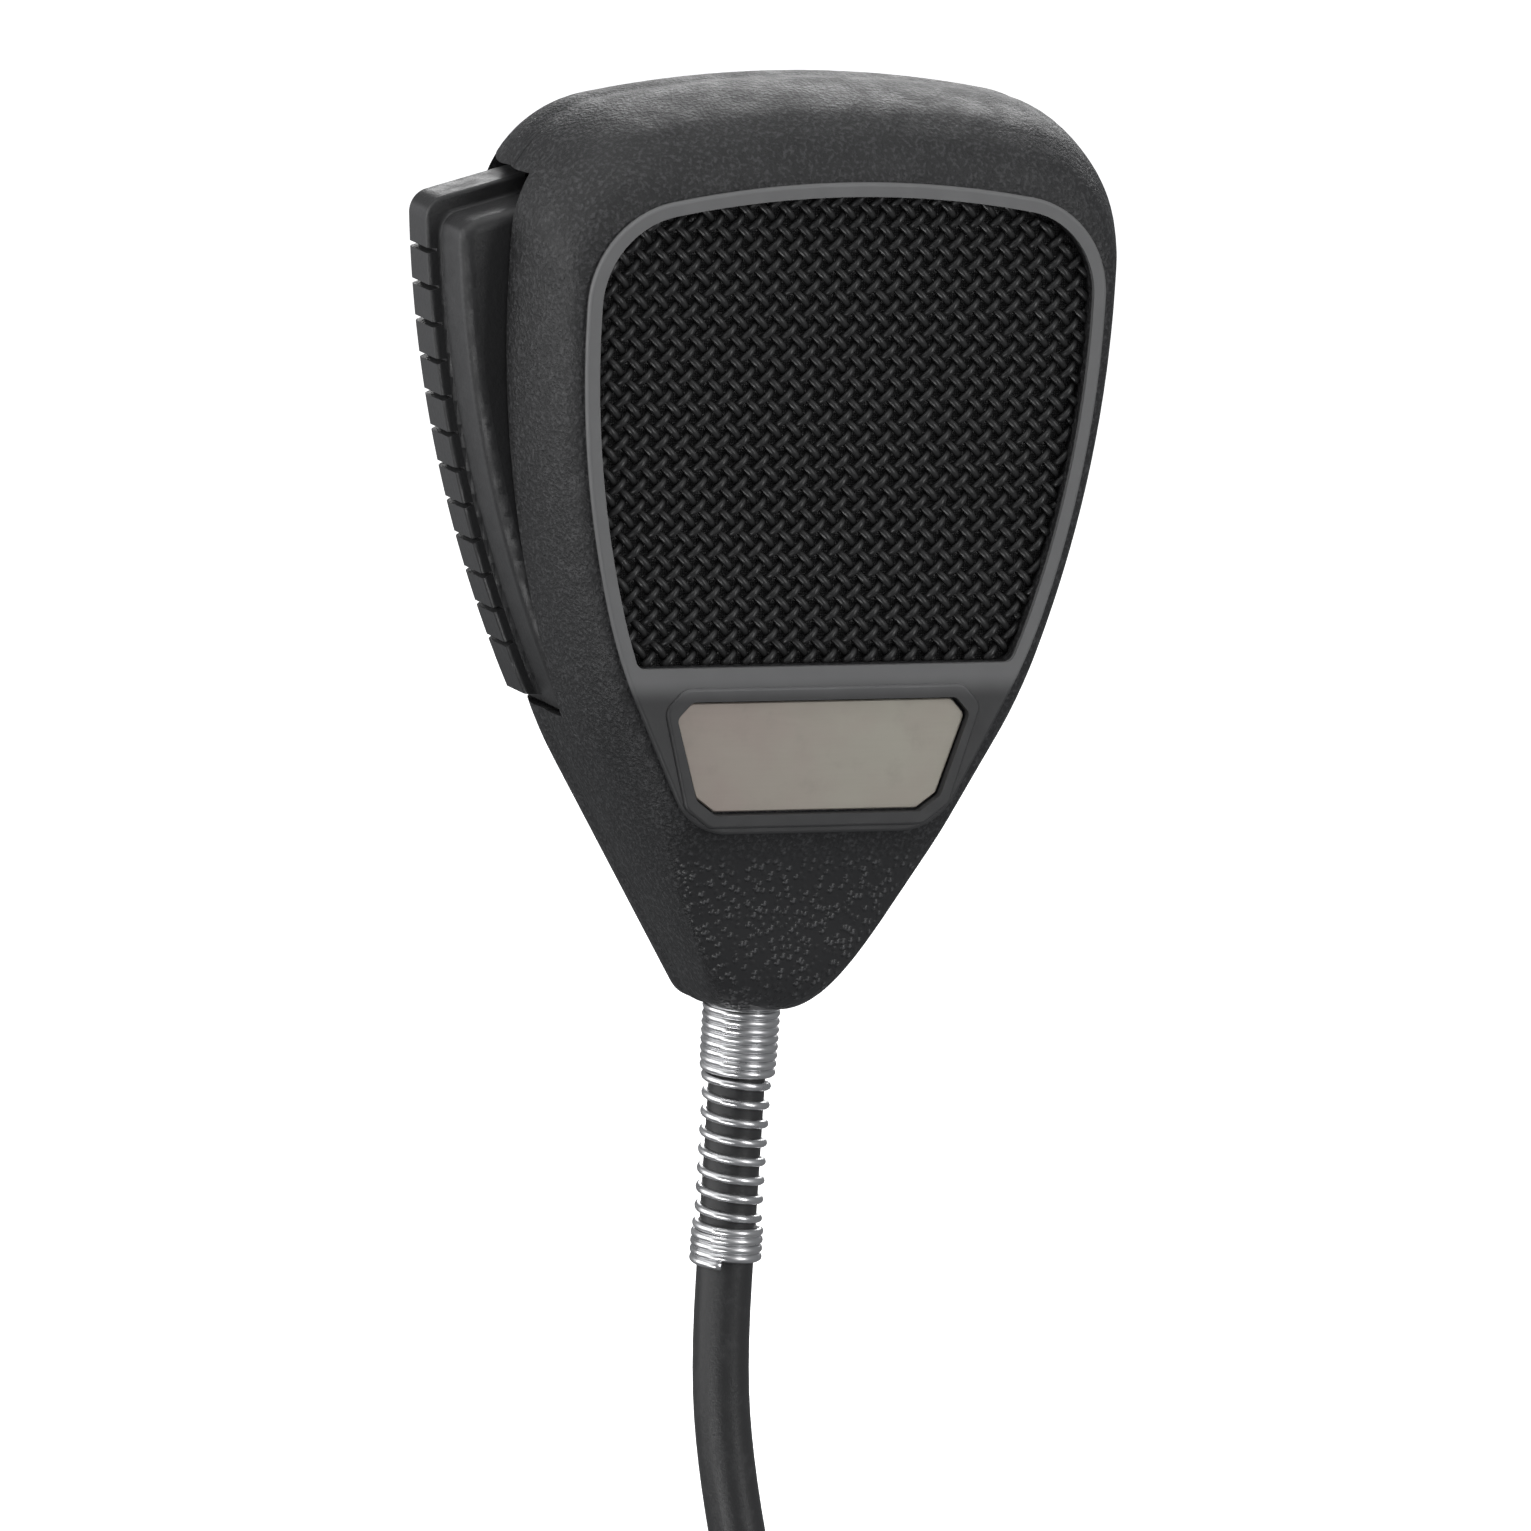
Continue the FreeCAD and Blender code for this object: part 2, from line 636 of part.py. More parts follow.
def grille_retainer():
    """Frame that presses the grille and its cloth against the rim from inside."""
    frame = prism_of(outline(-11.25, opening_sizes(0.6)), 1.4)
    return frame.cut(prism_of(outline(-12.0, opening_sizes(-1.6)), 3))


def nameplate():
    """Blank metal plate with cut corners, bonded into its recess."""
    g = DIMENSIONS
    floor_y = -g["front_depth"] - g["plateau_rise"] + g["plate_recess"]
    blank = rounded_slab(trapezium(0.0), floor_y - g["plate_thickness"], floor_y, 0.8)
    return blank.makeChamfer(0.12, edges_at(blank, floor_y - g["plate_thickness"]))


def case_screws():
    """The three screws that pull the shells together, driven from the back."""
    places = [(0, d.top_screw_z), (d.low_screw_x, d.low_screw_z), (-d.low_screw_x, d.low_screw_z)]
    return group("case_screw_set", *[
        screw(f"case_screw_{i}", "-y", (x, 10.2, z), (d.screw_head_radius, 1.6),
              (d.screw_radius, 16.6))
        for i, (x, z) in enumerate(places, start=1)
    ])


# ---------------------------------------------------------------- hang-up button


def hang_button_stem():
    """Neck that stands the button off the back, with the stud that passes through the wall."""
    stud_end = d.rear_depth - 6.0
    neck_end = d.rear_depth + d.stem_length
    return turned("stem_turning", "y", (0, 0, d.button_z), [
        (stud_end, 0), (stud_end, d.stud_radius), (d.rear_depth, d.stud_radius),
        (d.rear_depth, d.stem_radius), (neck_end, d.stem_radius), (neck_end, 0),
    ])


def hang_button_head():
    """Round head that the hanger's fork catches behind."""
    start = d.rear_depth + d.stem_length
    stop = start + d.head_thickness
    return turned("head_turning", "y", (0, 0, d.button_z), [
        (start, 0), (start, d.head_radius - 0.8), (start + 0.5, d.head_radius - 0.2),
        (start + 1.1, d.head_radius), (start + 1.8, d.head_radius - 0.25),
        (stop - 0.35, d.head_radius - 1.4), (stop, d.head_radius - 2.4), (stop, 0),
    ])


def hang_button_washer():
    start = d.rear_depth - d.wall - 0.8
    return turned("washer_turning", "y", (0, 0, d.button_z),
                  ring_profile(start, start + 0.8, d.stud_radius + 0.15, 4.2))


def hang_button_nut():
    """Hexagon nut on the stud."""
    back = d.rear_depth - d.wall - 0.8
    flat = 3.5
    corners = [
        (as_size(flat / math.cos(math.pi / 6) * math.cos(math.radians(60 * k))),
         d.button_z + flat / math.cos(math.pi / 6) * math.sin(math.radians(60 * k)))
        for k in range(6)
    ]
    return plate("nut_plate", corners, back - 2.2, back, [(0, d.button_z, d.stud_radius + 0.02)])


# ---------------------------------------------------------------- press-to-talk lever


def add_bow(sketch, radius, high_z, low_z, inner):
    """A profile bounded outside by an arc about the crest centre, inside by straight lines."""
    cx, cz = d.crest_centre_x, d.crest_centre_z
    high_x = cx.value - math.sqrt(radius.value ** 2 - (cz.value - high_z.value) ** 2)
    low_x = cx.value - math.sqrt(radius.value ** 2 - (cz.value - low_z.value) ** 2)
    start = math.atan2(high_z.value - cz.value, high_x - cx.value)
    stop = math.atan2(low_z.value - cz.value, low_x - cx.value)
    circle = Part.Circle(Vector(cx.value, cz.value, 0), Vector(0, 0, 1), radius.value)
    arc = sketch.addGeometry(Part.ArcOfCircle(circle, start, stop), False)
    fix_point(sketch, arc, 3, (cx, cz))
    index = sketch.addConstraint(Sketcher.Constraint("Radius", arc, radius.value))
    sketch.setExpression(f"Constraints[{index}]", radius.text)
    for end, size in ((1, high_z), (2, low_z)):
        index = sketch.addConstraint(Sketcher.Constraint("DistanceY", arc, end, size.value))
        sketch.setExpression(f"Constraints[{index}]", size.text)
    places = [(low_x, low_z.value)] + [(as_size(x).value, as_size(z).value) for x, z in inner]
    places.append((high_x, high_z.value))
    last = arc
    last_end = 2
    for k, (a, b) in enumerate(zip(places, places[1:])):
        line = sketch.addGeometry(Part.LineSegment(Vector(*a, 0), Vector(*b, 0)), False)
        sketch.addConstraint(Sketcher.Constraint("Coincident", last, last_end, line, 1))
        if k < len(inner):
            fix_point(sketch, line, 2, inner[k])
        last = line
        last_end = 2
    sketch.addConstraint(Sketcher.Constraint("Coincident", last, 2, arc, 1))


def chosen_edges(shape, wanted):
    """The names of a shape's edges whose bounds satisfy a test."""
    return [f"Edge{i}" for i, edge in enumerate(shape.Edges, start=1) if wanted(edge.BoundBox)]


def outer_top_edge(shape, high_y, high_z):
    """The edge straight across the lever at the top of its outer face."""
    return chosen_edges(shape, lambda b: b.XLength < 0.01 and abs(b.ZMax - high_z) < 0.01
                        and b.XMin < -35 and abs(b.YMax - high_y) < 0.01)


def outer_long_edges(shape, low_y, high_y):
    """The curved edges along both sides of the lever's outer face."""
    return chosen_edges(shape, lambda b: b.YLength < 0.01 and b.ZLength > 20 and b.XMin < -35
                        and (abs(b.YMin - low_y) < 0.01 or abs(b.YMin - high_y) < 0.01))


def round_edges(owner, base, names, radius, name):
    made = owner.newObject("PartDesign::Fillet", name)
    made.Base = (base, names)
    bind(made, "Radius", radius)
    doc.recompute()
    return made


def rounded_bow(owner, name, radius, high_z, low_z, inner, low_y, high_y, corner, rounding):
    """A padded bow whose outer top corner and long outer edges are rounded."""
    profile = sketch_on(owner, name, "XZ_Plane", (0, 0, -high_y))
    add_bow(profile, radius, high_z, low_z, inner)
    bow = pad(owner, profile, high_y - low_y, name + "_pad")
    doc.recompute()
    top = outer_top_edge(bow.Shape, high_y.value, high_z.value)
    turned_in = round_edges(owner, bow, top, corner, name + "_corner")
    edges = outer_long_edges(turned_in.Shape, low_y.value, high_y.value)
    return round_edges(owner, turned_in, edges, rounding, name + "_rounding")


def ptt_lever():
    """Lever: shouldered bow with a grooved thumb strip, pin boss, stop lip and switch nose."""
    owner = body("lever_body")
    rounded_bow(owner, "lever_bow", d.crest_radius - d.strip_rise, d.shoulder_top_z,
                d.lever_bottom_z, [
                    (d.pivot_x + 0.8, d.lever_bottom_z), (d.pivot_x + 2.5, d.pivot_z - 1.0),
                    (d.pivot_x + 2.5, d.pivot_z + 1.2), (d.pivot_x - 1.2, d.pivot_z + 4.0),
                    (-24.2, 46.0), (-26.2, d.shoulder_top_z + 3.0)],
                d.lever_front_y, d.lever_back_y, d.shoulder_corner, d.shoulder_round)
    rounded_bow(owner, "lever_strip", d.crest_radius, d.strip_top_z, d.strip_bottom_z,
                [(-21.0, d.strip_bottom_z), (-22.0, 40.0), (-31.0, 70.0),
                 (-28.5, d.strip_top_z + 2.8)],
                d.strip_front_y, d.strip_back_y, d.strip_corner, d.strip_round)
    groove = sketch_on(owner, "lever_groove", "XZ_Plane",
                       (d.crest_centre_x, d.crest_centre_z, -(d.strip_back_y + 0.6)))
    first = math.radians(DIMENSIONS["groove_first"])

    def on_groove(radius, shift):
        """A corner of the groove's section, by its radius and its shift along the strip."""
        return (radius * -math.cos(first) - shift * math.sin(first),
                radius * -math.sin(first) + shift * math.cos(first))

    top = d.crest_radius + 0.6
    bottom = d.crest_radius - d.groove_depth
    mouth, floor = d.groove_width * 0.5, d.groove_floor * 0.5
    add_polygon(groove, [on_groove(top, -mouth), on_groove(bottom, -floor),
                         on_groove(bottom, floor), on_groove(top, mouth)])
    notch = pocket(owner, groove, d.strip_back_y - d.strip_front_y + 1.2, "lever_groove_cut",
                   reversed_way=True)
    pattern = owner.newObject("PartDesign::PolarPattern", "lever_grooves")
    pattern.Originals = [notch]
    pattern.Axis = (groove, ["N_Axis"])
    pattern.Mode = "Extent"
    bind(pattern, "Angle", d.groove_turn * (DIMENSIONS["groove_count"] - 1))
    pattern.Occurrences = DIMENSIONS["groove_count"]
    pattern.Reversed = False
    owner.Tip = pattern
    doc.recompute()
    lip = sketch_on(owner, "lever_lip", "XZ_Plane", (0, 0, -(d.lever_front_y + 2.0)))
    add_polygon(lip, [(-28.3, 60.0), (-29.3, 77.0), (-27.4, 77.0), (-25.0, 60.0)])
    pad(owner, lip, 4.2, "lever_lip_pad")
    nose = sketch_on(owner, "lever_nose", "XZ_Plane", (0, 0, -(d.strip_front_y + 2.6)))
    add_polygon(nose, [(-26.0, d.plunger_z - 1.6), (-20.45, d.plunger_z - 1.6),
                       (-20.45, d.plunger_z + 1.6), (-26.0, d.plunger_z + 1.6)])
    pad(owner, nose, 4.8, "lever_nose_pad")
    bore = sketch_on(owner, "lever_bore", "XZ_Plane", (0, 0, -(d.lever_back_y + 1)))
    add_circle(bore, (d.pivot_x, d.pivot_z), d.pin_radius + 0.05)
    pocket(owner, bore, 20, "lever_bore_cut", reversed_way=True)
    seat = sketch_on(owner, "lever_spring_seat", "YZ_Plane", (0, 0, -27.0))
    add_circle(seat, (2.4, 56.0), 2.3)
    pocket(owner, seat, 4, "lever_spring_seat_cut", reversed_way=True)
    return owner


def ptt_pivot_pin():
    start = d.lever_front_y - 3.2
    return turned("pivot_pin_turning", "y", (d.pivot_x, 0, d.pivot_z),
                  [(start, 0), (start, d.pin_radius), (9.9, d.pin_radius), (9.9, 0)])


def ptt_return_spring():
    """Compression spring between the lever and the bracket, as a plain sleeve."""
    return turned("return_spring_turning", "x", (0, 2.4, 56.0), ring_profile(-26.9, -20.4, 1.4, 2.0))


# ---------------------------------------------------------------- switch


def switch_housing():
    """Sealed snap-action switch body with two fixing holes."""
    half, high = d.switch_length * 0.5, d.switch_height * 0.5
    block = box("switch_block", (d.switch_x - high, d.switch_front_y, d.switch_z - half),
                (d.switch_x + high, d.switch_back_y, d.switch_z + half))
    holes = [
        cylinder(f"switch_hole_{i}", "y", (d.switch_x, d.switch_front_y - 1, d.switch_z + shift),
                 1.05, 8)
        for i, shift in enumerate((-3.3, 3.3), start=1)
    ]
    middle_y = (d.switch_front_y + d.switch_back_y) * 0.5
    guide = cylinder("switch_guide", "x", (d.switch_x - high - 1, middle_y, d.plunger_z), 0.95, 3)
    return cut("switch_case", block, *holes, guide)


def switch_plunger():
    """Plunger that the lever's nose pushes in."""
    middle_y = (d.switch_front_y + d.switch_back_y) * 0.5
    face = d.switch_x - d.switch_height * 0.5
    return turned("plunger_turning", "x", (0, middle_y, d.plunger_z), [
        (face - 1.95, 0), (face - 1.95, 0.6), (face - 1.65, 0.9), (face + 0.8, 0.9),
        (face + 0.8, 0),
    ])


def switch_terminals():
    """Three solder tags on the side away from the plunger."""
    face = d.switch_x + d.switch_height * 0.5
    middle_y = (d.switch_front_y + d.switch_back_y) * 0.5
    return group("switch_tag_set", *[
        box(f"switch_tag_{i}", (face, middle_y - 0.9, d.switch_z + shift - 0.25),
            (face + 3.2, middle_y + 0.9, d.switch_z + shift + 0.25))
        for i, shift in enumerate((-5.0, -1.5, 2.0), start=1)
    ])


def switch_bracket():
    """Steel plate behind the switch, with the tab that the return spring stands on."""
    blank = box("bracket_plate", (-18.9, d.switch_back_y, 36.8), (-12.4, 6.2, 48.6))
    arm = box("bracket_arm", (-20.4, d.switch_back_y, 44.0), (-18.9, 6.2, 59.0))
    tab = box("bracket_tab", (-20.4, -0.6, 53.2), (-19.6, 6.2, 59.0))
    holes = [
        cylinder(f"bracket_hole_{i}", "y", (d.switch_x, 4.0, d.switch_z + shift), 1.05, 4)
        for i, shift in enumerate((-3.3, 3.3), start=1)
    ]
    return cut("bracket", fuse("bracket_blank", blank, arm, tab), *holes)


def switch_screws():
    return group("switch_screw_set", *[
        screw(f"switch_screw_{i}", "y", (d.switch_x, d.switch_front_y - 1.0, d.switch_z + shift),
              (1.7, 1.0), (0.8, 8.8))
        for i, shift in enumerate((-3.3, 3.3), start=1)
    ])


# ---------------------------------------------------------------- capsule


def capsule_cup():
    """Soft-iron cup that closes the magnetic circuit and holds the capsule together."""
    inner = d.cup_radius - d.cup_wall
    return turned("cup_turning", "y", (0, 0, d.capsule_z), [
        (d.cup_front_y, inner), (d.cup_front_y, d.cup_radius), (d.cup_back_y, d.cup_radius),
        (d.cup_back_y, 0), (d.cup_back_y - 1.2, 0), (d.cup_back_y - 1.2, inner),
    ])


def capsule_magnet():
    back = d.cup_back_y - 1.2
    return turned("magnet_turning", "y", (0, 0, d.capsule_z),
                  [(-2.2, 0), (-2.2, d.magnet_radius), (back, d.magnet_radius), (back, 0)])


def capsule_pole_piece():
    return turned("pole_turning", "y", (0, 0, d.capsule_z),
                  [(-5.0, 0), (-5.0, d.pole_radius), (-2.2, d.pole_radius), (-2.2, 0)])


def capsule_top_plate():
    """Ring that brings the flux to the gap around the voice coil."""
    return turned("top_plate_turning", "y", (0, 0, d.capsule_z),
                  ring_profile(-4.8, -3.0, 6.9, d.cup_radius - d.cup_wall))


def voice_coil():
    return turned("voice_coil_turning", "y", (0, 0, d.capsule_z),
                  ring_profile(-5.8, -3.1, d.coil_radius - 0.35, d.coil_radius + 0.35))


def diaphragm():
    """Domed diaphragm with its flat clamped rim."""
    rim = d.cup_radius - d.cup_wall - 0.05
    return turned("diaphragm_turning", "y", (0, 0, d.capsule_z), [
        (-6.75, 0), (-6.1, 5.6), (-6.1, 8.4), (-6.45, 11.0), (-6.2, 13.4), (-6.2, rim),
        (-5.9, rim), (-5.9, 13.2), (-6.15, 11.0), (-5.8, 8.6), (-5.8, 5.4), (-6.45, 0),
    ])


def capsule_cover():
    """Pierced front plate of the capsule."""
    owner = body("cover_body")
    face = sketch_on(owner, "cover_disc", "XZ_Plane", (0, 0, -d.cup_front_y))
    add_circle(face, (0, d.capsule_z), d.cup_radius)
    pad(owner, face, 0.8, "cover_pad")
    doc.recompute()
    hole = sketch_on(owner, "cover_hole", "XZ_Plane", (0, d.capsule_z, -(d.cup_front_y + 1)))
    add_circle(hole, (0, 9.5), 1.1)
    first = pocket(owner, hole, 3, "cover_hole_cut", reversed_way=True)
    ring = owner.newObject("PartDesign::PolarPattern", "cover_holes")
    ring.Originals = [first]
    ring.Axis = (hole, ["N_Axis"])
    ring.Angle = 360
    ring.Occurrences = 12
    owner.Tip = ring
    return owner


def capsule_boot():
    """Rubber sleeve that isolates the capsule from the case."""
    return turned("boot_turning", "y", (0, 0, d.capsule_z), [
        (-6.9, d.cup_radius + 0.02), (-6.9, 17.2), (6.2, 17.2), (6.2, 12.0),
        (d.cup_back_y + 0.02, 12.0), (d.cup_back_y + 0.02, d.cup_radius + 0.02),
    ])


def capsule_retainer():
    """Ring with two ears that holds the capsule in its boot."""
    ring = cylinder("retainer_disc", "y", (0, -8.65, d.capsule_z), 17.4, 0.8)
    ears = [
        cylinder(f"retainer_ear_{i}", "y", (x, -8.65, z), 3.0, 0.8)
        for i, (x, z) in enumerate(retainer_places(), start=1)
    ]
    window = cylinder("retainer_window", "y", (0, -9.5, d.capsule_z), 14.6, 3)
    holes = [
        cylinder(f"retainer_hole_{i}", "y", (x, -9.5, z), 1.1, 3)
        for i, (x, z) in enumerate(retainer_places(), start=1)
    ]
    return cut("retainer_ring", fuse("retainer_blank", ring, *ears), window, *holes)


def retainer_screws():
    return group("retainer_screw_set", *[
        screw(f"retainer_screw_{i}", "y", (x, -9.75, z), (2.0, 1.1), (0.9, 7.5))
        for i, (x, z) in enumerate(retainer_places(), start=1)
    ])


def capsule_gasket():
    """Foam ring that seals the capsule to the grille frame."""
    return turned("gasket_turning", "y", (0, 0, d.capsule_z),
                  ring_profile(-9.8, -8.7, 14.2, 16.6))


# ---------------------------------------------------------------- wiring


def terminal_board():
    """Small board where the cord's conductors meet the switch and capsule leads."""
    corners = [(-9.0, 24.6), (9.0, 24.6), (9.0, 30.4), (-9.0, 30.4)]
    holes = [(x, z, 1.0) for x, z in board_places()]
    return plate("board_plate", corners, 3.4, 4.6, holes)


def board_screws():
    return group("board_screw_set", *[
        screw(f"board_screw_{i}", "y", (x, 2.4, z), (1.6, 1.0), (0.8, 4.8))
        for i, (x, z) in enumerate(board_places(), start=1)
    ])


LUG_X = (-3.6, -1.2, 1.2, 3.6)


def terminal_lugs():
    return group("lug_set", *[
        box(f"lug_{i}", (x - 0.7, 3.0, 25.2), (x + 0.7, 3.4, 29.8))
        for i, x in enumerate(LUG_X, start=1)
    ])


def route_wire(points, share=0.45):
    """Straight runs joined by tangent arcs, each as large as its two runs allow."""
    places = [Vector(*p) for p in points]
    edges, radii, start = [], [], places[0]
    for before, here, after in zip(places, places[1:], places[2:]):
        back, ahead = before - here, after - here
        reach = share * min(back.Length, ahead.Length)
        back.normalize()
        ahead.normalize()
        half_turn = (math.pi - back.getAngle(ahead)) / 2
        radius = reach / math.tan(half_turn)
        middle_way = (back + ahead).normalize()
        centre = here + middle_way * (radius / math.cos(half_turn))
        first, last = here + back * reach, here + ahead * reach
        middle = centre - middle_way * radius
        edges.append(Part.LineSegment(start, first).toShape())
        edges.append(Part.Arc(first, middle, last).toShape())
        radii.append(radius)
        start = last
    edges.append(Part.LineSegment(start, places[-1]).toShape())
    return Part.Wire(edges), radii


def tube(points, radius):
    """A round tube along a route, and the radii of its bends."""
    path, radii = route_wire(points)
    way = Vector(*points[1]) - Vector(*points[0])
    section = Part.Wire(Part.Circle(Vector(*points[0]), way, radius).toShape())
    solid = path.makePipeShell([section], True, True)
    expected = math.pi * radius ** 2 * path.Length
    if abs(solid.Volume / expected - 1) > 0.01:
        raise ValueError(f"tube volume {solid.Volume:.1f} is not {expected:.1f}")
    return solid, radii, path.Length


def wires(name, routes, radius):
    return feature(name, Part.makeCompound([tube(r, radius)[0] for r in routes]))


def cord_conductors():
    """Four insulated conductors from the cord's cut end to the board."""
    routes = []
    for i, x in enumerate(LUG_X):
        start = (x * 0.42, 0.9 if i % 2 else -0.9, 16.0)
        routes.append([start, (start[0], start[1], 19.5), (x, 2.3, 22.6), (x, 2.45, 26.5)])
    return wires("conductor_set", routes, 0.5)


def capsule_leads():
    """Two leads from the capsule's back to the board."""
    return wires("capsule_lead_set", [
        [(x, 4.1, 57.0), (x, 6.9, 52.5), (x * 1.1, 7.4, 46.0), (x * 1.1, 6.2, 38.0),
         (x, 3.2, 33.5), (x, 2.3, 30.4), (x, 2.45, 27.8)]
        for x in LUG_X[2:]
    ], 0.5)


def switch_leads():
    """Two leads from the switch tags to the board."""
    x, z = DIMENSIONS["switch_x"] + 6.6, DIMENSIONS["switch_z"]
    return wires("switch_lead_set", [
        [(x, 2.4, z + lift), (x + 2.6, 2.2, z + lift - 1.5), (x + 4.2 + shift, 2.0, z - 7.6),
         (end, 2.2, 33.0), (end, 2.45, 28.2)]
        for lift, shift, end in ((-5.0, -1.4, LUG_X[0]), (-1.5, 1.4, LUG_X[1]))
    ], 0.5)


# ---------------------------------------------------------------- cord end inside the case


def cable_clamp():
    """Saddle that grips the cord inside the case."""
    bridge = box("clamp_bridge", (-7.6, -3.9, 9.2), (7.6, 3.1, 13.8))
    gap = cylinder("clamp_gap", "z", (0, 0, 8.0), d.cord_radius, 8)
    below = [
        box(f"clamp_side_{i}", (low, -5.0, 8.0), (high, 1.9, 15.0))
        for i, (low, high) in enumerate(((-9.0, -4.0), (4.0, 9.0)), start=1)
    ]
    holes = [
        cylinder(f"clamp_hole_{i}", "y", (x, 0.0, z), 1.0, 5)
        for i, (x, z) in enumerate(clamp_places(), start=1)
    ]
    return cut("clamp_saddle", bridge, gap, *below, *holes)


def cable_clamp_screws():
    return group("clamp_screw_set", *[
        screw(f"clamp_screw_{i}", "y", (x, 0.9, z), (1.5, 1.0), (0.8, 5.6))
        for i, (x, z) in enumerate(clamp_places(), start=1)
    ])


def armour_spring():
    """Spring strain relief: a close-wound collar at each end and open turns between."""
    inner, outer = d.spring_inner, d.spring_radius
    points = [(as_size(7.0), inner), (as_size(7.0), outer)]
    z = 7.0
    collar_pitch, collar_turns, valley = 0.72, 19, 0.12
    for turn in range(collar_turns):
        low = z - collar_pitch
        shrink = 0.15 * turn / collar_turns
        points += [(z - collar_pitch * 0.85, outer - shrink), (low, outer - valley - shrink)]
        z = low
        points.append((z - collar_pitch * 0.15, outer - shrink - 0.01))
    open_pitch, wire = 1.85, 0.85
    for turn in range(8):
        top = z - 0.3 - turn * open_pitch
        points += [(top, inner + 0.12), (top - 0.5, inner + 0.12), (top - 0.5, outer - 0.6),
                   (top - 0.5 - wire, outer - 0.6)]
    low = z - 0.3 - 8 * open_pitch
    bottom = -d.spring_length
    points += [(low, inner + 0.12), (low, outer - 0.3), (bottom, outer - 0.35), (bottom, inner)]
    return turned("armour_turning", "z", (0, 0, 0), points)


def spring_collar():
    """Ring that stops the spring's inner end from pulling through the case."""
    return turned("collar_turning", "z", (0, 0, 0),
                  ring_profile(3.8, 5.6, d.spring_radius + 0.02, d.spring_radius + 0.6))


def cord_inner():
    """The stretch of cord held inside the case and the spring."""
    return cylinder("cord_inner_rod", "z", (0, 0, -d.spring_length), d.cord_radius,
                    d.spring_length + 16.0)


# ---------------------------------------------------------------- free cord


def coil_centre():
    return Vector(*(DIMENSIONS["coil_centre_" + k] for k in "xyz"))


def layer_radii():
    g = DIMENSIONS
    return g["coil_turn_radius"] + g["turn_pitch"] / 2, g["coil_turn_radius"] - g["turn_pitch"] / 2


def coil_half_span():
    """Half the distance between the first and last turn of a layer."""
    return DIMENSIONS["turn_pitch"] * DIMENSIONS["coil_turns"] / 4


def cord_lead():
    """Free cord from the armour spring down to the coil."""
    c = coil_centre()
    y = c.y - coil_half_span()
    solid, radii, length = tube([
        (0.0, 0.0, -DIMENSIONS["spring_length"]), (0.0, 0.0, -37.0), (1.3, -0.6, -48.0),
        (4.4, -2.2, -62.5), (c.x + 8.0, y + 0.28, c.z + 44.2), (c.x + 15.6, y, c.z + 35.2),
    ], DIMENSIONS["cord_radius"])
    print("cord_lead bend radii", [round(r, 1) for r in radii], "length", round(length, 1))
    return feature("cord_lead_tube", solid)


def cord_coil():
    """The put-away length as the outer shape of its coil."""
    wide = d.turn_pitch * d.coil_turns * 0.25 + d.cord_radius
    inner = d.coil_turn_radius - d.turn_pitch * 0.5 - d.cord_radius
    outer = d.coil_turn_radius + d.turn_pitch * 0.5 + d.cord_radius
    soft = 1.6
    return turned("coil_turning", "y", (d.coil_centre_x, 0, d.coil_centre_z), [
        (d.coil_centre_y - wide, inner + soft), (d.coil_centre_y - wide + soft, inner),
        (d.coil_centre_y + wide - soft, inner), (d.coil_centre_y + wide, inner + soft),
        (d.coil_centre_y + wide, outer - soft), (d.coil_centre_y + wide - soft, outer),
        (d.coil_centre_y - wide + soft, outer), (d.coil_centre_y - wide, outer - soft),
    ])


def cord_tail():
    """Cord from the coil's side down to the plug."""
    c = coil_centre()
    x, y = DIMENSIONS["plug_x"], DIMENSIONS["plug_y"]
    solid, radii, length = tube([
        (c.x + 15.5, y + 3.6, c.z + 25.6), (c.x + 25.4, y + 1.3, c.z + 15.4),
        (c.x + 30.4, y + 0.1, c.z + 1.5), (x, y, c.z - 14.5),
        (x, y, DIMENSIONS["plug_top_z"] - 13.0),
    ], DIMENSIONS["cord_radius"])
    print("cord_tail bend radii", [round(r, 1) for r in radii], "length", round(length, 1))
    return feature("cord_tail_tube", solid)


def cord_tie():
    """Strap round the coil's turns, at the top."""
    owner = body("tie_body")
    reach = d.coil_centre_z
    wide = d.turn_pitch * d.coil_turns * 0.25 + d.cord_radius + 0.05
    inner = d.coil_turn_radius - d.turn_pitch * 0.5 - d.cord_radius - 0.05
    outer = d.coil_turn_radius + d.turn_pitch * 0.5 + d.cord_radius + 0.05
    section = sketch_on(owner, "tie_section", "YZ_Plane", (0, reach, d.coil_centre_x))
    for grow in (d.tie_thickness, as_size(0)):
        add_polygon(section, [
            (d.coil_centre_y - wide - grow, inner - grow),
            (d.coil_centre_y + wide + grow, inner - grow),
            (d.coil_centre_y + wide + grow, outer + grow),
            (d.coil_centre_y - wide - grow, outer + grow),
        ])
    made = owner.newObject("PartDesign::Revolution", "tie_turn_part")
    made.Profile = section
    made.ReferenceAxis = (section, ["H_Axis"])
    bind(made, "Angle", d.tie_turn)
    made.Midplane = True
    return owner


# ---------------------------------------------------------------- plug


def plug_point(drop):
    """A height on the plug's axis, measured down from where the cord enters."""
    return d.plug_top_z - drop


def plug_centre():
    return (d.plug_x, d.plug_y, 0)


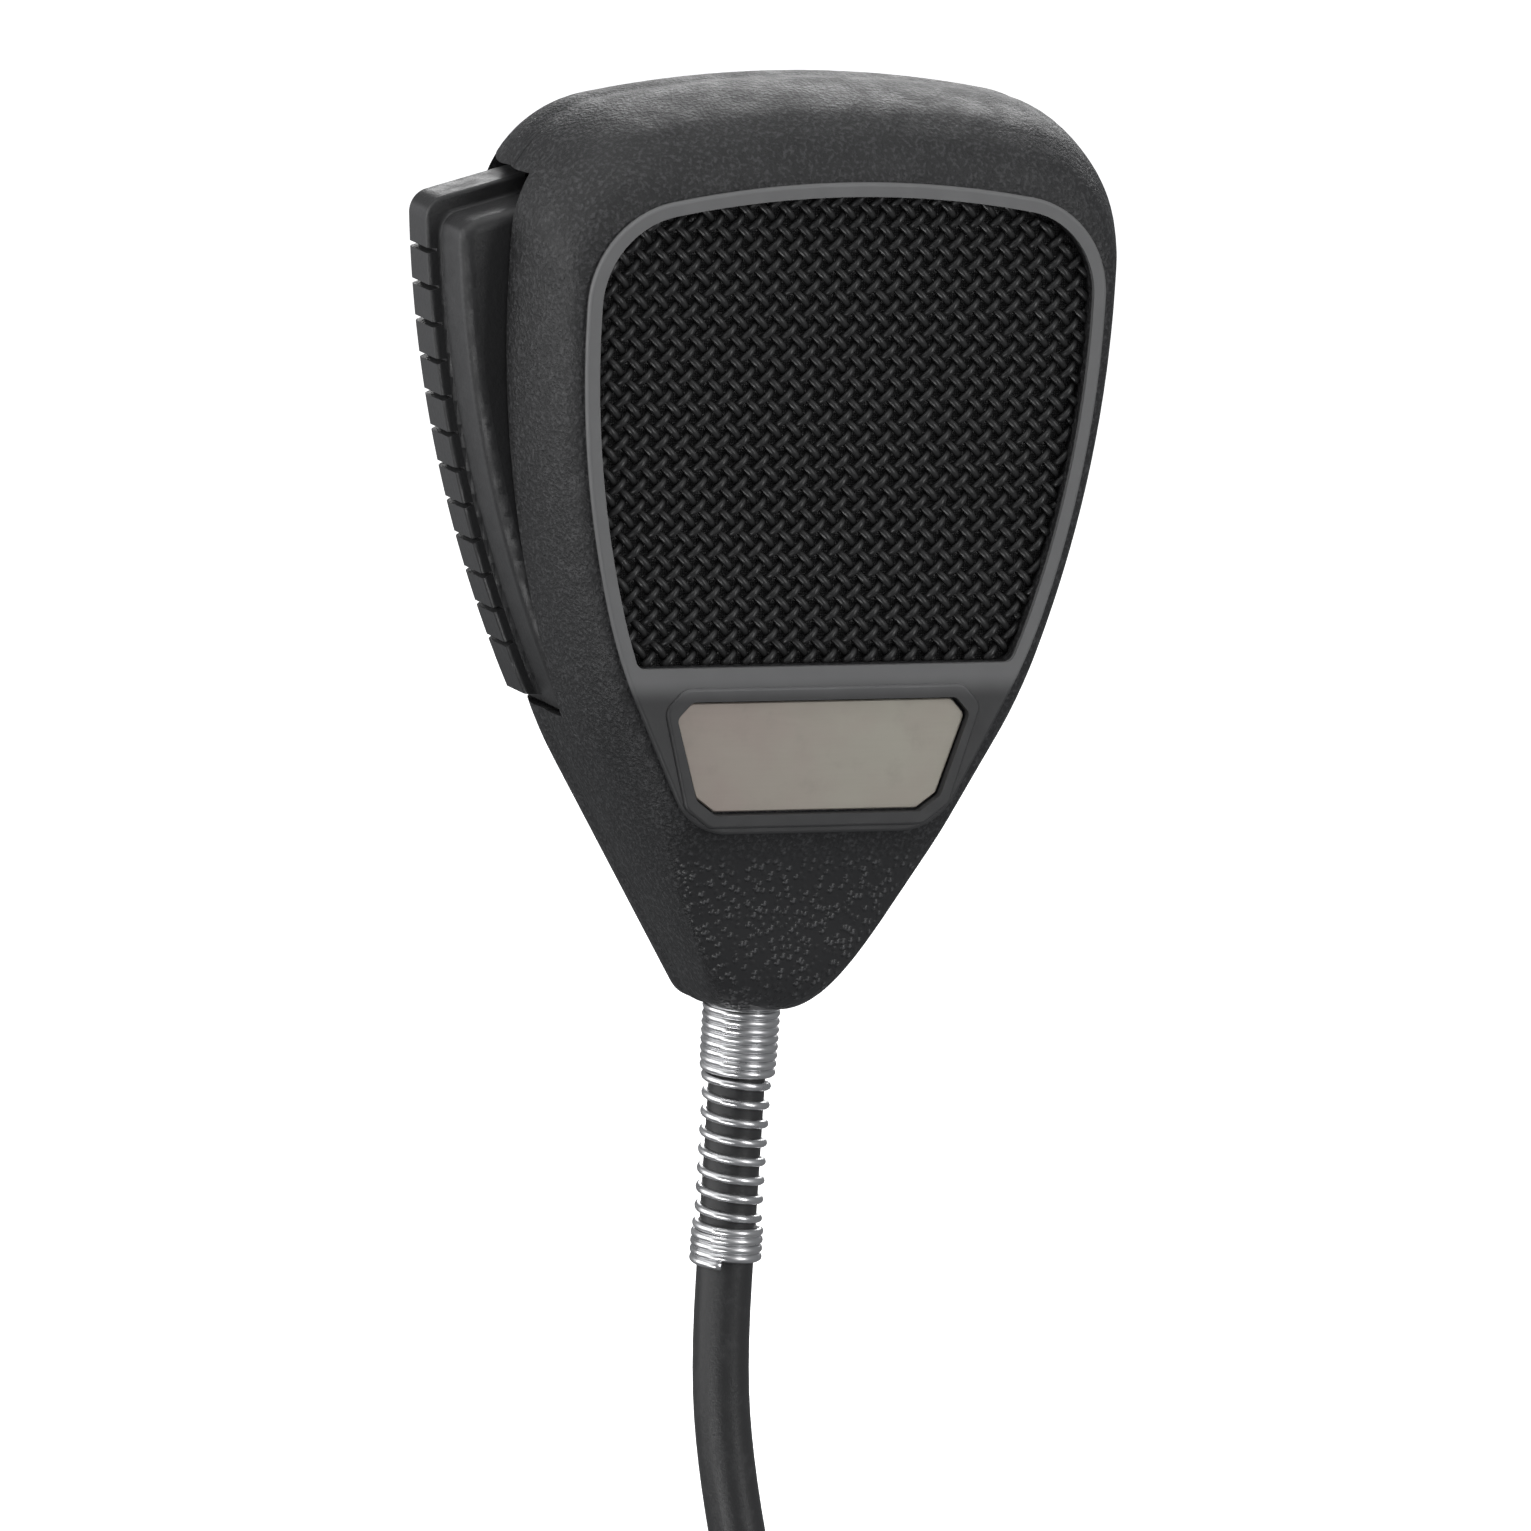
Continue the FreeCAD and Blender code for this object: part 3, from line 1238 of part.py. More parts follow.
def plug_shell():
    """Metal back shell: tapered sleeve, rear tongue for the saddle and a flange for the ring."""
    wall = 0.9
    sleeve = turned("sleeve_turning", "z", plug_centre(), [
        (plug_point(8.0), 3.2), (plug_point(8.0), 5.0), (plug_point(13.0), d.sleeve_radius),
        (plug_point(34.2), d.sleeve_radius), (plug_point(34.2), 7.85), (plug_point(35.4), 7.85),
        (plug_point(35.4), d.insert_radius + 0.02), (plug_point(24.0), d.insert_radius + 0.02),
        (plug_point(24.0), d.sleeve_radius - wall - 0.6),
        (plug_point(14.0), d.sleeve_radius - wall - 0.6), (plug_point(9.5), 3.2),
    ])
    tongue = cylinder("tongue_round", "z", (d.plug_x, d.plug_y, plug_point(9.0)), 5.0, 9.0)
    half = box("tongue_half", (d.plug_x - 6, d.plug_y - 6, plug_point(8.0)),
               (d.plug_x + 6, d.plug_y + 0.3, plug_point(-1.0)))
    way_through = cylinder("tongue_bore", "z", (d.plug_x, d.plug_y, plug_point(10.0)), 3.2, 12.0)
    return fuse("plug_shell_body", sleeve,
                cut("tongue", tongue, half, way_through, *saddle_screw_holes("tongue")))


def plug_saddle():
    """Saddle that screws down on the cord against the tongue."""
    round_part = cylinder("saddle_round", "z", (d.plug_x, d.plug_y, plug_point(7.6)), 5.0, 6.6)
    half = box("saddle_half", (d.plug_x - 6, d.plug_y - 0.1, plug_point(9.0)),
               (d.plug_x + 6, d.plug_y + 6, plug_point(0.0)))
    bore = cylinder("saddle_bore", "z", (d.plug_x, d.plug_y, plug_point(9.0)), 3.2, 9.0)
    return cut("saddle", round_part, half, bore, *saddle_screw_holes("saddle"))


def saddle_screw_holes(name):
    """Clearance holes for the two saddle screws."""
    return [
        cylinder(f"{name}_hole_{i}", "y", (d.plug_x + side, d.plug_y - 4.0, plug_point(4.3)),
                 0.55, 8)
        for i, side in enumerate((-4.1, 4.1), start=1)
    ]


def plug_saddle_screws():
    return group("saddle_screw_set", *[
        screw(f"saddle_screw_{i}", "y", (d.plug_x + side, d.plug_y - 4.9, plug_point(4.3)),
              (0.75, 1.0), (0.45, 5.6))
        for i, side in enumerate((-4.1, 4.1), start=1)
    ])


def plug_grommet():
    """Rubber bush between the cord and the saddle."""
    return turned("grommet_turning", "z", plug_centre(), [
        (plug_point(-6.0), d.cord_radius + 0.02), (plug_point(-6.0), 3.35),
        (plug_point(-0.1), 3.75), (plug_point(-0.1), 3.15), (plug_point(8.8), 3.15),
        (plug_point(8.8), d.cord_radius + 0.02),
    ])


def plug_insert():
    """Moulded insulator with four contact holes."""
    drum = cylinder("insert_drum", "z", (d.plug_x, d.plug_y, plug_point(41.0)), d.insert_radius,
                    16.8)
    holes = [
        cylinder(f"insert_hole_{i}", "z", (x, y, plug_point(42.0)), 1.0, 20)
        for i, (x, y) in enumerate(contact_places(), start=1)
    ]
    return cut("insert", drum, *holes)


def contact_places():
    reach = 3.5
    return [
        (d.plug_x + reach * math.cos(math.radians(45 + 90 * k)),
         d.plug_y + reach * math.sin(math.radians(45 + 90 * k)))
        for k in range(4)
    ]


def plug_contacts():
    """Four hollow contacts."""
    made = []
    for i, (x, y) in enumerate(contact_places(), start=1):
        barrel = cylinder(f"contact_barrel_{i}", "z", (x, y, plug_point(40.6)), 0.98, 19)
        mouth = cylinder(f"contact_mouth_{i}", "z", (x, y, plug_point(41.0)), 0.6, 8)
        made.append(cut(f"contact_{i}", barrel, mouth))
    return group("contact_set", *made)


def plug_coupling_ring():
    """Knurled ring that turns freely on the sleeve, with its thread's minor radius inside."""
    lip = d.sleeve_radius + 0.05
    blank = turned("ring_turning", "z", plug_centre(), [
        (plug_point(31.4), lip), (plug_point(31.4), d.ring_radius - 0.6),
        (plug_point(32.0), d.ring_radius), (plug_point(43.6), d.ring_radius),
        (plug_point(44.2), d.ring_radius - 0.6), (plug_point(44.2), d.thread_radius),
        (plug_point(34.0), d.thread_radius), (plug_point(34.0), lip),
    ])
    flutes = []
    for k in range(24):
        turn = math.radians(15 * k)
        flutes.append(cylinder(
            f"ring_flute_{k + 1}", "z",
            (d.plug_x + (d.ring_radius + 0.25) * math.cos(turn),
             d.plug_y + (d.ring_radius + 0.25) * math.sin(turn), plug_point(42.6)), 0.5, 9.4))
    return cut("ring", blank, *flutes)


# ---------------------------------------------------------------- build

SHAPES = (front_shell, rear_shell, grille, grille_cloth, grille_retainer, nameplate)
PIECES = (
    case_screws, hang_button_stem, hang_button_head, hang_button_washer, hang_button_nut,
    ptt_lever, ptt_pivot_pin, ptt_return_spring, switch_housing, switch_plunger,
    switch_terminals, switch_bracket, switch_screws, capsule_cup, capsule_magnet,
    capsule_pole_piece, capsule_top_plate, voice_coil, diaphragm, capsule_cover, capsule_boot,
    capsule_retainer, retainer_screws, capsule_gasket, terminal_board, board_screws,
    terminal_lugs, cord_conductors, capsule_leads, switch_leads, cable_clamp,
    cable_clamp_screws, armour_spring, spring_collar, cord_inner, cord_lead, cord_coil,
    cord_tail, cord_tie, plug_shell, plug_saddle, plug_saddle_screws, plug_grommet,
    plug_insert, plug_contacts, plug_coupling_ring,
)

for make in SHAPES:
    node(make.__name__, feature(make.__name__ + "_shape", make()))
for make in PIECES:
    node(make.__name__, make())
doc.recompute()

for thing in doc.Objects:
    if "Invalid" in thing.State or "Error" in thing.State:
        raise RuntimeError(f"{thing.Label} did not build: {thing.State}")
for thing in nodes:
    if thing.Shape.isNull() or not thing.Shape.isValid() or not thing.Shape.Solids:
        raise RuntimeError(f"{thing.Label} has no valid solid")

os.makedirs("parts", exist_ok=True)
for thing in nodes:
    thing.Shape.exportStep(f"parts/{thing.Label}.step")
    print(f"{thing.Label}: {len(thing.Shape.Solids)} solid(s), {thing.Shape.Volume:.1f} mm3")
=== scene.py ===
import math

import bpy
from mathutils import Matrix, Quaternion, Vector
from mathutils.bvhtree import BVHTree


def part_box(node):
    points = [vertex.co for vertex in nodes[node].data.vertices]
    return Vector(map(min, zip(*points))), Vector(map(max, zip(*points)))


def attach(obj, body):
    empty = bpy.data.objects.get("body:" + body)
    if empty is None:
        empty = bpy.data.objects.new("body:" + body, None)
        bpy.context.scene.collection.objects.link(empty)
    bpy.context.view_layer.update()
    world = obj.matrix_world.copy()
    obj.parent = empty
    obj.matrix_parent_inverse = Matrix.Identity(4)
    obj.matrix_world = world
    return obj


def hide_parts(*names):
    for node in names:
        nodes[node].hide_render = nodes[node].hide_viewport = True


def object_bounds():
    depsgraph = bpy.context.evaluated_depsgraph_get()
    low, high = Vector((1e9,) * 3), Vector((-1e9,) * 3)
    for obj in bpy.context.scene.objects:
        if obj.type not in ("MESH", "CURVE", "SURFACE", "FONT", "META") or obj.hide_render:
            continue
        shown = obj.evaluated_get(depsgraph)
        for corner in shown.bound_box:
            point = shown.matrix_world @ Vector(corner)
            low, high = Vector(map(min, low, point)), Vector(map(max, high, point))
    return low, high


# Hand microphone: the looks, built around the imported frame. Metres, in the row frame.
# Sizes below are in millimetres from the bottom end of the case, on its parting plane.

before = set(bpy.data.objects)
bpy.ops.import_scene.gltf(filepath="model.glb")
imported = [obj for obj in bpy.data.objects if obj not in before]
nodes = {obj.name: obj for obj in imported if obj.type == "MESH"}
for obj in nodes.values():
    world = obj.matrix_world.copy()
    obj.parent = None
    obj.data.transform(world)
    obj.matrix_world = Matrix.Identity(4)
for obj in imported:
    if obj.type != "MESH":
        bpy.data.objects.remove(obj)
cad_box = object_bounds()
MM = 0.001
CASE_END = Vector((0.0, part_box("front_shell")[1].y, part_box("front_shell")[0].z))


def at(x, y, z):
    """A point given in millimetres from the case's bottom end, in the row frame."""
    return CASE_END + Vector((x, y, z)) * MM


# ---------------------------------------------------------------- camera

VIEW_HEIGHT = 153.1
VIEW_TARGET = at(-1.4, -5.0, 25.2)
VIEW_AZIMUTH = math.radians(-25.0)
VIEW_ELEVATION = math.radians(10.7)
VIEW_ROLL = math.radians(3.7)
LENS = 700.0
SENSOR = 36.0


def make_camera():
    """A long lens in front of the talking side, a little to the left and above."""
    data = bpy.data.cameras.new("camera")
    data.lens = LENS
    data.sensor_width = SENSOR
    data.clip_start = 0.01
    data.clip_end = 100.0
    camera = bpy.data.objects.new("camera", data)
    bpy.context.scene.collection.objects.link(camera)
    level = math.cos(VIEW_ELEVATION)
    back = Vector((math.sin(VIEW_AZIMUTH) * level, -math.cos(VIEW_AZIMUTH) * level,
                   math.sin(VIEW_ELEVATION)))
    camera.location = VIEW_TARGET + back * (VIEW_HEIGHT * MM * LENS / SENSOR)
    camera.rotation_mode = "QUATERNION"
    facing = back.to_track_quat("Z", "Y")
    camera.rotation_quaternion = facing @ Quaternion((0, 0, 1), VIEW_ROLL)
    bpy.context.scene.camera = camera


# ---------------------------------------------------------------- cord

CORD_DIAMETER = 5.7
SPRING_END = (0.0, 0.0, -28.3)
LEAD = [SPRING_END, (0.0, 0.0, -37.0), (1.3, -0.6, -48.0), (4.4, -2.2, -62.5),
        (10.2, -3.5, -75.8), (17.8, -3.78, -84.8)]
TAIL = [(17.7, -6.0, -94.4), (27.6, -8.3, -104.6), (32.6, -9.5, -118.5),
        (33.4, -9.6, -134.5), (33.4, -9.6, -165.0)]
COIL_CENTRE = (2.2, 8.0, -120.0)
COIL_RADIUS = 33.0
COIL_TURNS = 8.125
TURN_PITCH = 5.8
COIL_START = math.radians(45.0)
POINTS_PER_TURN = 16
LAST_POINTS_LEFT_OUT = 2


def coil_points():
    """Two layers of turns: the outer one front to back, then the inner one back to front."""
    layer = COIL_TURNS / 2
    front = COIL_CENTRE[1] - TURN_PITCH * layer / 2
    shrink = 1 - (1 - math.cos(2 * math.pi / POINTS_PER_TURN)) / 4
    points = []
    for k in range(round(COIL_TURNS * POINTS_PER_TURN) - LAST_POINTS_LEFT_OUT):
        turned = k / POINTS_PER_TURN
        inward = min(max((turned - layer) * 4, 0.0), 1.0)
        radius = (COIL_RADIUS + TURN_PITCH / 2 - TURN_PITCH * inward) / shrink
        depth = front + TURN_PITCH * (turned if turned < layer else COIL_TURNS - turned)
        angle = COIL_START - 2 * math.pi * turned
        points.append((COIL_CENTRE[0] + radius * math.cos(angle), depth,
                       COIL_CENTRE[2] + radius * math.sin(angle)))
    return points


def make_cord():
    """The free cord: out of the spring, down into its coil and on to the plug."""
    data = bpy.data.curves.new("cord", "CURVE")
    data.dimensions = "3D"
    data.bevel_depth = 1.0
    data.bevel_resolution = 6
    data.resolution_u = 5
    data.use_fill_caps = True
    route = LEAD + coil_points() + TAIL
    spline = data.splines.new("NURBS")
    spline.points.add(len(route) - 1)
    for point, place in zip(spline.points, route):
        point.co = (*at(*place), 1.0)
        point.radius = CORD_DIAMETER / 2 * MM
    spline.order_u = 3
    spline.use_endpoint_u = True
    spline.use_smooth = True
    cord = bpy.data.objects.new("cord", data)
    bpy.context.scene.collection.objects.link(cord)
    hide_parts("cord_lead", "cord_coil", "cord_tail")
    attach(cord, "microphone")
    return cord


# ---------------------------------------------------------------- materials


class Surface:
    """A Principled material and the procedural nodes that feed it."""

    def __init__(self, name, colour, roughness, metallic=0.0, specular=0.5):
        self.material = bpy.data.materials.new(name)
        self.material.use_nodes = True
        self.tree = self.material.node_tree
        self.shader = self.tree.nodes["Principled BSDF"]
        self.place = self.add("ShaderNodeTexCoord").outputs["Object"]
        self.normal = None
        self.shader.inputs["Base Color"].default_value = (*colour, 1.0)
        self.shader.inputs["Roughness"].default_value = roughness
        self.shader.inputs["Metallic"].default_value = metallic
        self.shader.inputs["Specular IOR Level"].default_value = specular

    def add(self, kind, **settings):
        made = self.tree.nodes.new(kind)
        for name, value in settings.items():
            setattr(made, name, value)
        return made

    def feed(self, socket, value):
        """Link an output, or set a plain value, on an input socket."""
        if isinstance(value, bpy.types.NodeSocket):
            self.tree.links.new(value, socket)
        else:
            socket.default_value = value

    def stretched(self, scale):
        """The place with each axis scaled, for grain that runs one way."""
        made = self.add("ShaderNodeMapping")
        made.inputs["Scale"].default_value = scale
        self.feed(made.inputs["Vector"], self.place)
        return made.outputs["Vector"]

    def noise(self, size, detail=2.0, rough=0.5, place=None):
        """Soft noise whose features are about size millimetres across."""
        made = self.add("ShaderNodeTexNoise")
        self.feed(made.inputs["Vector"], place or self.place)
        made.inputs["Scale"].default_value = 1 / (size * MM)
        made.inputs["Detail"].default_value = detail
        made.inputs["Roughness"].default_value = rough
        return made.outputs["Fac"]

    def cells(self, size):
        """Distance inside rounded cells about size millimetres across."""
        made = self.add("ShaderNodeTexVoronoi", feature="F1")
        self.feed(made.inputs["Vector"], self.place)
        made.inputs["Scale"].default_value = 1 / (size * MM)
        return made.outputs["Distance"]

    def calculate(self, kind, a, b=0.0):
        """One step of arithmetic on two outputs or numbers."""
        made = self.add("ShaderNodeMath", operation=kind)
        self.feed(made.inputs[0], a)
        self.feed(made.inputs[1], b)
        return made.outputs[0]

    def times(self, first, *others):
        for other in others:
            first = self.calculate("MULTIPLY", first, other)
        return first

    def facing(self, letter):
        """How far the surface's own normal points along one axis, from -1 to 1."""
        split = self.add("ShaderNodeSeparateXYZ")
        self.feed(split.inputs[0], self.add("ShaderNodeNewGeometry").outputs["Normal"])
        return split.outputs["xyz".index(letter)]

    def span(self, value, low, high, start=0.0, stop=1.0):
        """value from low..high to start..stop, smoothly and held at the ends."""
        made = self.add("ShaderNodeMapRange", interpolation_type="SMOOTHSTEP")
        for name, number in (("From Min", low), ("From Max", high), ("To Min", start),
                             ("To Max", stop)):
            made.inputs[name].default_value = number
        self.feed(made.inputs["Value"], value)
        return made.outputs["Result"]

    def along(self, letter):
        """One coordinate in millimetres from the case's bottom end."""
        split = self.add("ShaderNodeSeparateXYZ")
        self.feed(split.inputs[0], self.place)
        index = "xyz".index(letter)
        shifted = self.calculate("SUBTRACT", split.outputs[index], CASE_END[index])
        return self.times(shifted, 1 / MM)

    def blend(self, share, first, second):
        """first where share is 0, second where it is 1."""
        made = self.add("ShaderNodeMix", data_type="RGBA", blend_type="MIX")
        self.feed(made.inputs["Factor"], share)
        for socket, value in ((made.inputs["A"], first), (made.inputs["B"], second)):
            self.feed(socket, (*value, 1.0) if isinstance(value, tuple) else value)
        return made.outputs["Result"]

    def relief(self, height, depth):
        """Bump of a depth in millimetres, on top of any before it."""
        made = self.add("ShaderNodeBump")
        made.inputs["Distance"].default_value = depth * MM
        made.inputs["Strength"].default_value = 1.0
        self.feed(made.inputs["Height"], height)
        if self.normal is not None:
            self.feed(made.inputs["Normal"], self.normal)
        self.normal = made.outputs["Normal"]

    def finish(self, colour=None, roughness=None):
        if colour is not None:
            self.feed(self.shader.inputs["Base Color"], colour)
        if roughness is not None:
            self.feed(self.shader.inputs["Roughness"], roughness)
        if self.normal is not None:
            self.feed(self.shader.inputs["Normal"], self.normal)
        return self.material


def shade(colour, factor):
    return tuple(c * factor for c in colour)


PLATEAU_EDGE = (-14.30, -14.05)
FACET_FRONT = (-6.0, -4.0)
FACET_TOP = (16.0, 19.5)
FACET_LEAN = (0.30, 0.60)
BAND_FOOT = (33.6, 36.2)
SEAM_HALF_WIDTH = (0.10, 0.30)
PEBBLE_SIZE = 0.78
GRAIN_SIZE = 0.42


def case_plastic():
    """Charcoal moulding: smooth pale rim, smooth dark panel, grained sides with painted glints, pebbled low
    facet painted lighter with painted highlights on the pebbles' crowns.
    """
    charcoal, band, panel = (0.028, 0.028, 0.029), (0.225, 0.225, 0.227), (0.038, 0.038, 0.039)
    s = Surface("case_plastic", charcoal, 0.5)
    height, depth = s.along("z"), s.along("y")
    raised = s.span(depth, *PLATEAU_EDGE, 1.0, 0.0)
    sunk = s.calculate("SUBTRACT", 1.0, raised)
    turned_forward = s.span(s.calculate("ABSOLUTE", s.facing("x")), *FACET_LEAN, 1.0, 0.0)
    pebbled = s.times(turned_forward, s.span(depth, *FACET_FRONT, 1.0, 0.0),
                      s.span(height, *FACET_TOP, 1.0, 0.0), sunk)
    unpebbled = s.calculate("SUBTRACT", 1.0, pebbled)
    light_band = s.times(raised, s.span(height, *BAND_FOOT, 0.16, 1.0))
    seam = s.span(s.calculate("ABSOLUTE", depth), *SEAM_HALF_WIDTH, 1.0, 0.0)
    cloudy = s.blend(s.noise(9.0, 3.0), shade(charcoal, 0.8), shade(charcoal, 1.25))
    # painted highlight: pale specks at the grain's size stand in for glints of light on the grain's bumps
    speckle_glints = s.blend(s.span(s.noise(GRAIN_SIZE, 3.0), 0.46, 0.70), cloudy, shade(charcoal, 2.7))
    smooth = s.blend(light_band, panel, band)
    # painted light: the pebbled facet is painted lighter than the charcoal for light falling from the front
    # below, and each pebble's crown carries a painted highlight
    crown_highlights = s.span(s.cells(PEBBLE_SIZE), 0.10, 0.34, 1.0, 0.0)
    pebbles_painted_lit = s.blend(crown_highlights, shade(charcoal, 1.5), shade(charcoal, 5.0))
    colour = s.blend(pebbled, s.blend(raised, speckle_glints, smooth), pebbles_painted_lit)
    colour = s.blend(seam, colour, shade(charcoal, 0.15))
    s.relief(s.times(s.noise(GRAIN_SIZE, 3.0, 0.6), sunk, unpebbled), 0.22)
    s.relief(s.times(s.span(s.cells(PEBBLE_SIZE), 0.05, 0.62, 1.0, 0.0), pebbled), 0.18)
    s.relief(s.noise(1.6, 2.0), 0.006)
    roughness = s.span(s.noise(2.4, 3.0), 0.3, 0.7, 0.42, 0.56)
    return s.finish(colour, s.blend(pebbled, roughness, (0.36, 0.36, 0.36)))


def satin_plastic(name, colour, roughness=0.42, grain=0.35, depth=0.012):
    """Moulded plastic with a faint grain, cloudy colour and uneven sheen."""
    s = Surface(name, colour, roughness)
    tone = s.blend(s.noise(7.0, 3.0), shade(colour, 0.82), shade(colour, 1.22))
    s.relief(s.noise(grain, 3.0, 0.6), depth)
    s.relief(s.noise(4.0, 2.0), 0.01)
    return s.finish(tone, s.span(s.noise(1.8, 3.0), 0.3, 0.7, roughness - 0.06, roughness + 0.08))


def lever_plastic():
    """Satin charcoal, painted paler on the faces turned to -x, the thumb strip's outward face, as a painted
    highlight for light from the left.
    """
    colour = (0.044, 0.044, 0.045)
    s = Surface("lever_plastic", colour, 0.42)
    # painted highlight: faces turned to -x are painted paler, standing in for light from the left
    painted_lit_side = s.span(s.facing("x"), -0.86, -0.97)
    tone = s.blend(s.noise(7.0, 3.0), shade(colour, 0.82), shade(colour, 1.22))
    tone = s.blend(painted_lit_side, tone, shade(colour, 2.2))
    s.relief(s.noise(0.5, 3.0, 0.6), 0.05)
    s.relief(s.noise(4.0, 2.0), 0.01)
    return s.finish(tone, s.span(s.noise(1.8, 3.0), 0.3, 0.7, 0.38, 0.52))


TARNISH = 0.85


def metal(name, colour, roughness, run=(1, 1, 1), size=0.4, depth=0.004):
    """Metal with fine tool marks that run one way, and a slight uneven tarnish."""
    s = Surface(name, colour, roughness, metallic=1.0)
    tone = s.blend(s.noise(3.5, 4.0, 0.6), shade(colour, TARNISH), colour)
    marks = s.noise(size, 2.0, 0.5, s.stretched(run))
    s.relief(marks, depth)
    return s.finish(tone, s.span(s.noise(2.2, 3.0), 0.3, 0.7, roughness * 0.8, roughness * 1.3))


def rubber(name, colour, roughness=0.6):
    """Matt rubber with a dusty bloom and a fine skin."""
    s = Surface(name, colour, roughness)
    bloom = s.blend(s.span(s.noise(6.0, 4.0, 0.6), 0.42, 0.72), colour, shade(colour, 1.45))
    s.relief(s.noise(0.25, 3.0, 0.6), 0.02)
    return s.finish(bloom, s.span(s.noise(1.2, 2.0), 0.3, 0.7, roughness - 0.06, roughness + 0.1))


def plate_metal():
    """Warm silver plate, slightly mottled and finely brushed from side to side."""
    warm, cool = (0.46, 0.39, 0.35), (0.50, 0.475, 0.405)
    s = Surface("plate_metal", warm, 0.42, metallic=0.35, specular=0.5)
    sideways = s.span(s.along("x"), -17.0, 10.0)
    mottle = s.span(s.noise(5.0, 3.0, 0.55), 0.34, 0.66)
    share = s.calculate("ADD", s.times(sideways, 0.7), s.times(mottle, 0.3))
    tone = s.blend(share, warm, cool)
    tone = s.blend(s.span(s.noise(3.0, 4.0, 0.6), 0.5, 0.8, 0.0, 0.35), tone, (0.36, 0.32, 0.28))
    brushed = s.noise(0.25, 2.0, 0.5, s.stretched((0.06, 1.0, 1.0)))
    s.relief(brushed, 0.004)
    s.relief(s.noise(3.5, 2.0), 0.02)
    return s.finish(tone, s.span(brushed, 0.3, 0.7, 0.36, 0.50))


CLOTH_THREAD = 0.25
CLOTH_RELIEF = 0.06


def grille_cloth():
    """Plain-woven cloth made by crossing two sets of ridges."""
    # painted light: the cloth's grey is lifted well above a dark cloth's to stand in for light in the
    # shaded gaps behind the wires
    colour = (0.30, 0.30, 0.30)
    s = Surface("grille_cloth", colour, 0.85, specular=0.2)
    split = s.add("ShaderNodeSeparateXYZ")
    s.feed(split.inputs[0], s.stretched((math.pi / (CLOTH_THREAD * MM),) * 3))
    warp = s.calculate("ABSOLUTE", s.calculate("SINE", split.outputs[0]))
    weft = s.calculate("ABSOLUTE", s.calculate("SINE", split.outputs[2]))
    ridges = s.times(warp, weft)
    s.relief(ridges, CLOTH_RELIEF)
    s.relief(s.noise(0.08, 2.0), 0.02)
    # painted shade: the hollows between the threads are painted darker and the ridges lighter
    return s.finish(s.blend(ridges, shade(colour, 0.5), shade(colour, 1.3)))


def tie_strap():
    """Hook and loop strap: short fuzzy pile on a dark weave."""
    colour = (0.022, 0.022, 0.024)
    s = Surface("tie_strap", colour, 0.9, specular=0.2)
    s.shader.inputs["Sheen Weight"].default_value = 0.3
    pile = s.cells(0.35)
    s.relief(pile, 0.12)
    s.relief(s.noise(0.15, 3.0, 0.7), 0.08)
    return s.finish(s.blend(pile, shade(colour, 1.6), shade(colour, 0.5)))


def cord_jacket():
    """Black satin jacket with a faint extruded skin and handling marks."""
    colour = (0.044, 0.044, 0.045)
    s = Surface("cord_jacket", colour, 0.45)
    marks = s.span(s.noise(2.2, 4.0, 0.65), 0.5, 0.8)
    tone = s.blend(marks, colour, shade(colour, 1.7))
    s.relief(s.noise(0.35, 3.0, 0.6), 0.035)
    s.relief(s.noise(3.0, 2.0), 0.03)
    return s.finish(tone, s.span(marks, 0.0, 1.0, 0.42, 0.6))


def grille_wire():
    """Black enamel over crimped wire, with painted highlights on the crests."""
    colour = (0.028, 0.028, 0.0282)
    s = Surface("grille_wire", colour, 0.48)
    # painted highlight: the front-most crests of the weave are painted brighter
    crest_highlight = s.span(s.along("y"), -13.02, -13.22)
    tone = s.blend(crest_highlight, colour, shade(colour, 1.4))
    s.relief(s.noise(0.3, 2.0), 0.012)
    return s.finish(tone, s.span(s.noise(0.8, 2.0), 0.3, 0.7, 0.30, 0.45))


